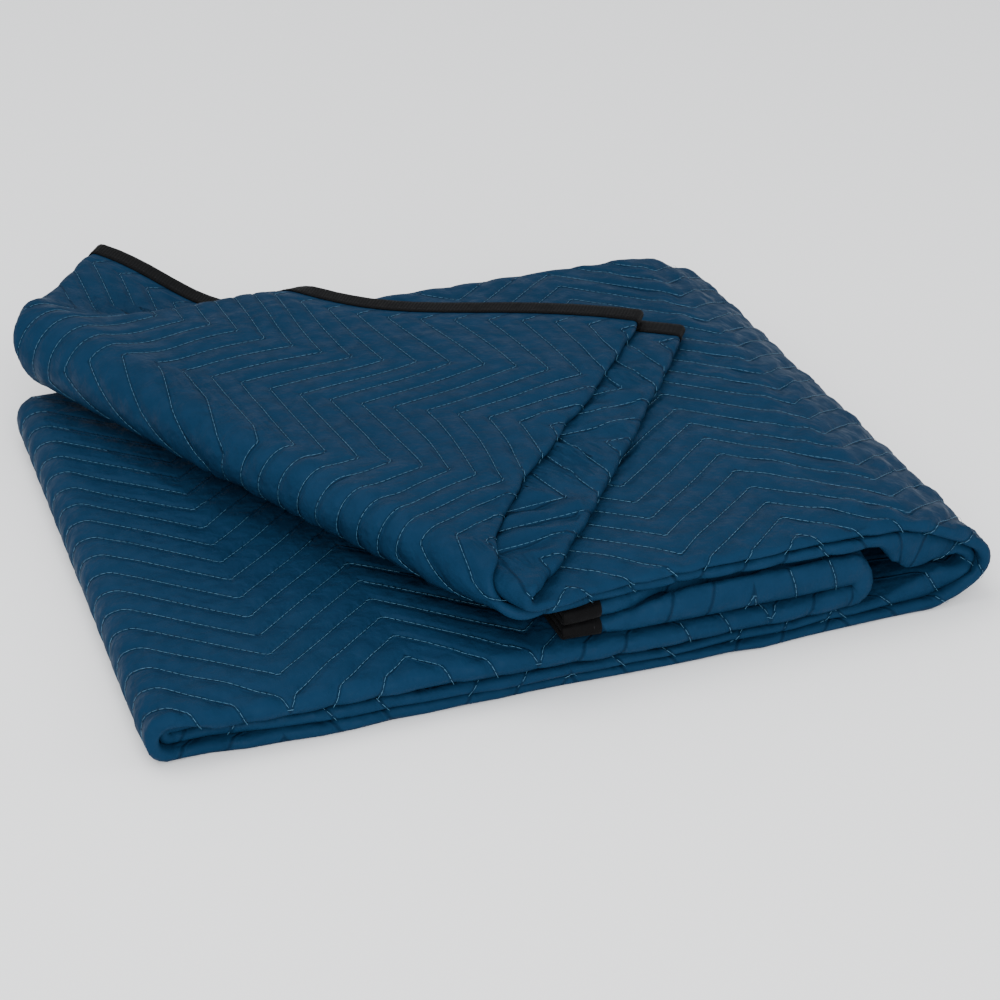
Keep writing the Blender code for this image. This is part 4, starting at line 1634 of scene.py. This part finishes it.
@dataclass(frozen=True)
class Studio:
    """Pale floor, soft lights and the camera."""

    place: Triple = (-0.55197, -1.59682, 0.91056)
    turn: Triple = (1.0672, 0.0, -0.35983)
    lens: float = 97.2
    sensor: float = 36.0
    floor_size: float = 8.0
    floor_colour: Colour = (0.94, 0.94, 0.94)
    floor_roughness: float = 0.9
    sky_colour: Colour = (0.95, 0.97, 1.0)
    sky_strength: float = 1.05
    target: Triple = (0.0, 0.0, 0.05)
    lights: tuple[tuple, ...] = (
        # name, place, width in metres, power in watts
        ("key_light", (-0.6, 0.2, 2.2), 1.8, 31.0),
        ("front_light", (-0.7, -2.3, 1.1), 1.8, 64.0),
        ("side_light", (2.1, -0.9, 0.9), 1.4, 12.0),
    )

    def build(self) -> None:
        """Builds the floor, lights, world and camera."""
        self.build_floor()
        self.build_world()
        for name, place, size, power in self.lights:
            self.area_light(name, place, size, power)
        data = bpy.data.cameras.new("camera")
        data.sensor_width = self.sensor
        data.lens = self.lens
        camera = add_object("camera", data)
        camera.location = self.place
        camera.rotation_euler = self.turn
        bpy.context.scene.camera = camera

    def build_floor(self) -> None:
        """Plain pale floor."""
        half = 0.5 * self.floor_size
        mesh = bpy.data.meshes.new("floor")
        mesh.from_pydata([(-half, -half, 0.0), (half, -half, 0.0), (half, half, 0.0),
                          (-half, half, 0.0)], [], [(0, 1, 2, 3)])
        finish = bpy.data.materials.new("pale_floor")
        finish.use_nodes = True
        shader = finish.node_tree.nodes["Principled BSDF"]
        shader.inputs["Base Color"].default_value = (*self.floor_colour, 1.0)
        shader.inputs["Roughness"].default_value = self.floor_roughness
        mesh.materials.append(finish)
        add_object("floor", mesh)

    def build_world(self) -> None:
        """Even pale light from all round."""
        world = bpy.data.worlds.new("studio")
        world.use_nodes = True
        sky = world.node_tree.nodes["Background"]
        sky.inputs[0].default_value = (*self.sky_colour, 1.0)
        sky.inputs[1].default_value = self.sky_strength
        bpy.context.scene.world = world

    def area_light(self, name: str, place: Triple, size: float,
                   power: float) -> None:
        """Square soft light that faces the pile, with its width in metres and power in watts."""
        data = bpy.data.lights.new(name, "AREA")
        data.size = size
        data.energy = power
        light = add_object(name, data)
        light.location = place
        way = Vector(self.target) - Vector(place)
        light.rotation_euler = way.to_track_quat("-Z", "Y").to_euler()


def main() -> None:
    """Builds the dressed blanket and the studio."""
    logging.basicConfig(level=logging.INFO, format="%(name)s: %(message)s")
    plan = FoldPlan()
    quilting = Quilting(plan)
    materials = Materials(ClothFinish(), TapeFinish(), ThreadFinish(), quilting)
    cloth = QuiltedCloth(plan, quilting, Creases(), materials)
    sheet = cloth.build()
    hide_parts("quilted_cloth")
    inner, flap = plan.tape_widths
    tapes = [BindingTape(plan, materials, "flap_end_tape", plan.length, 1.0, flap),
             BindingTape(plan, materials, "inner_end_tape", 0.0, -1.0, inner)]
    pieces = [sheet]
    for tape, node in zip(tapes, ("binding_flap_end", "binding_inner_end")):
        piece = tape.build()
        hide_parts(node)
        pieces.append(piece)
    pieces += StitchRows(plan, quilting, cloth, materials).build(tapes)
    for piece in pieces:
        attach(piece, "root")
        LOG.info("%s: %d faces", piece.name, len(piece.data.polygons))
    Studio().build()


if __name__ == "__main__":
    main()
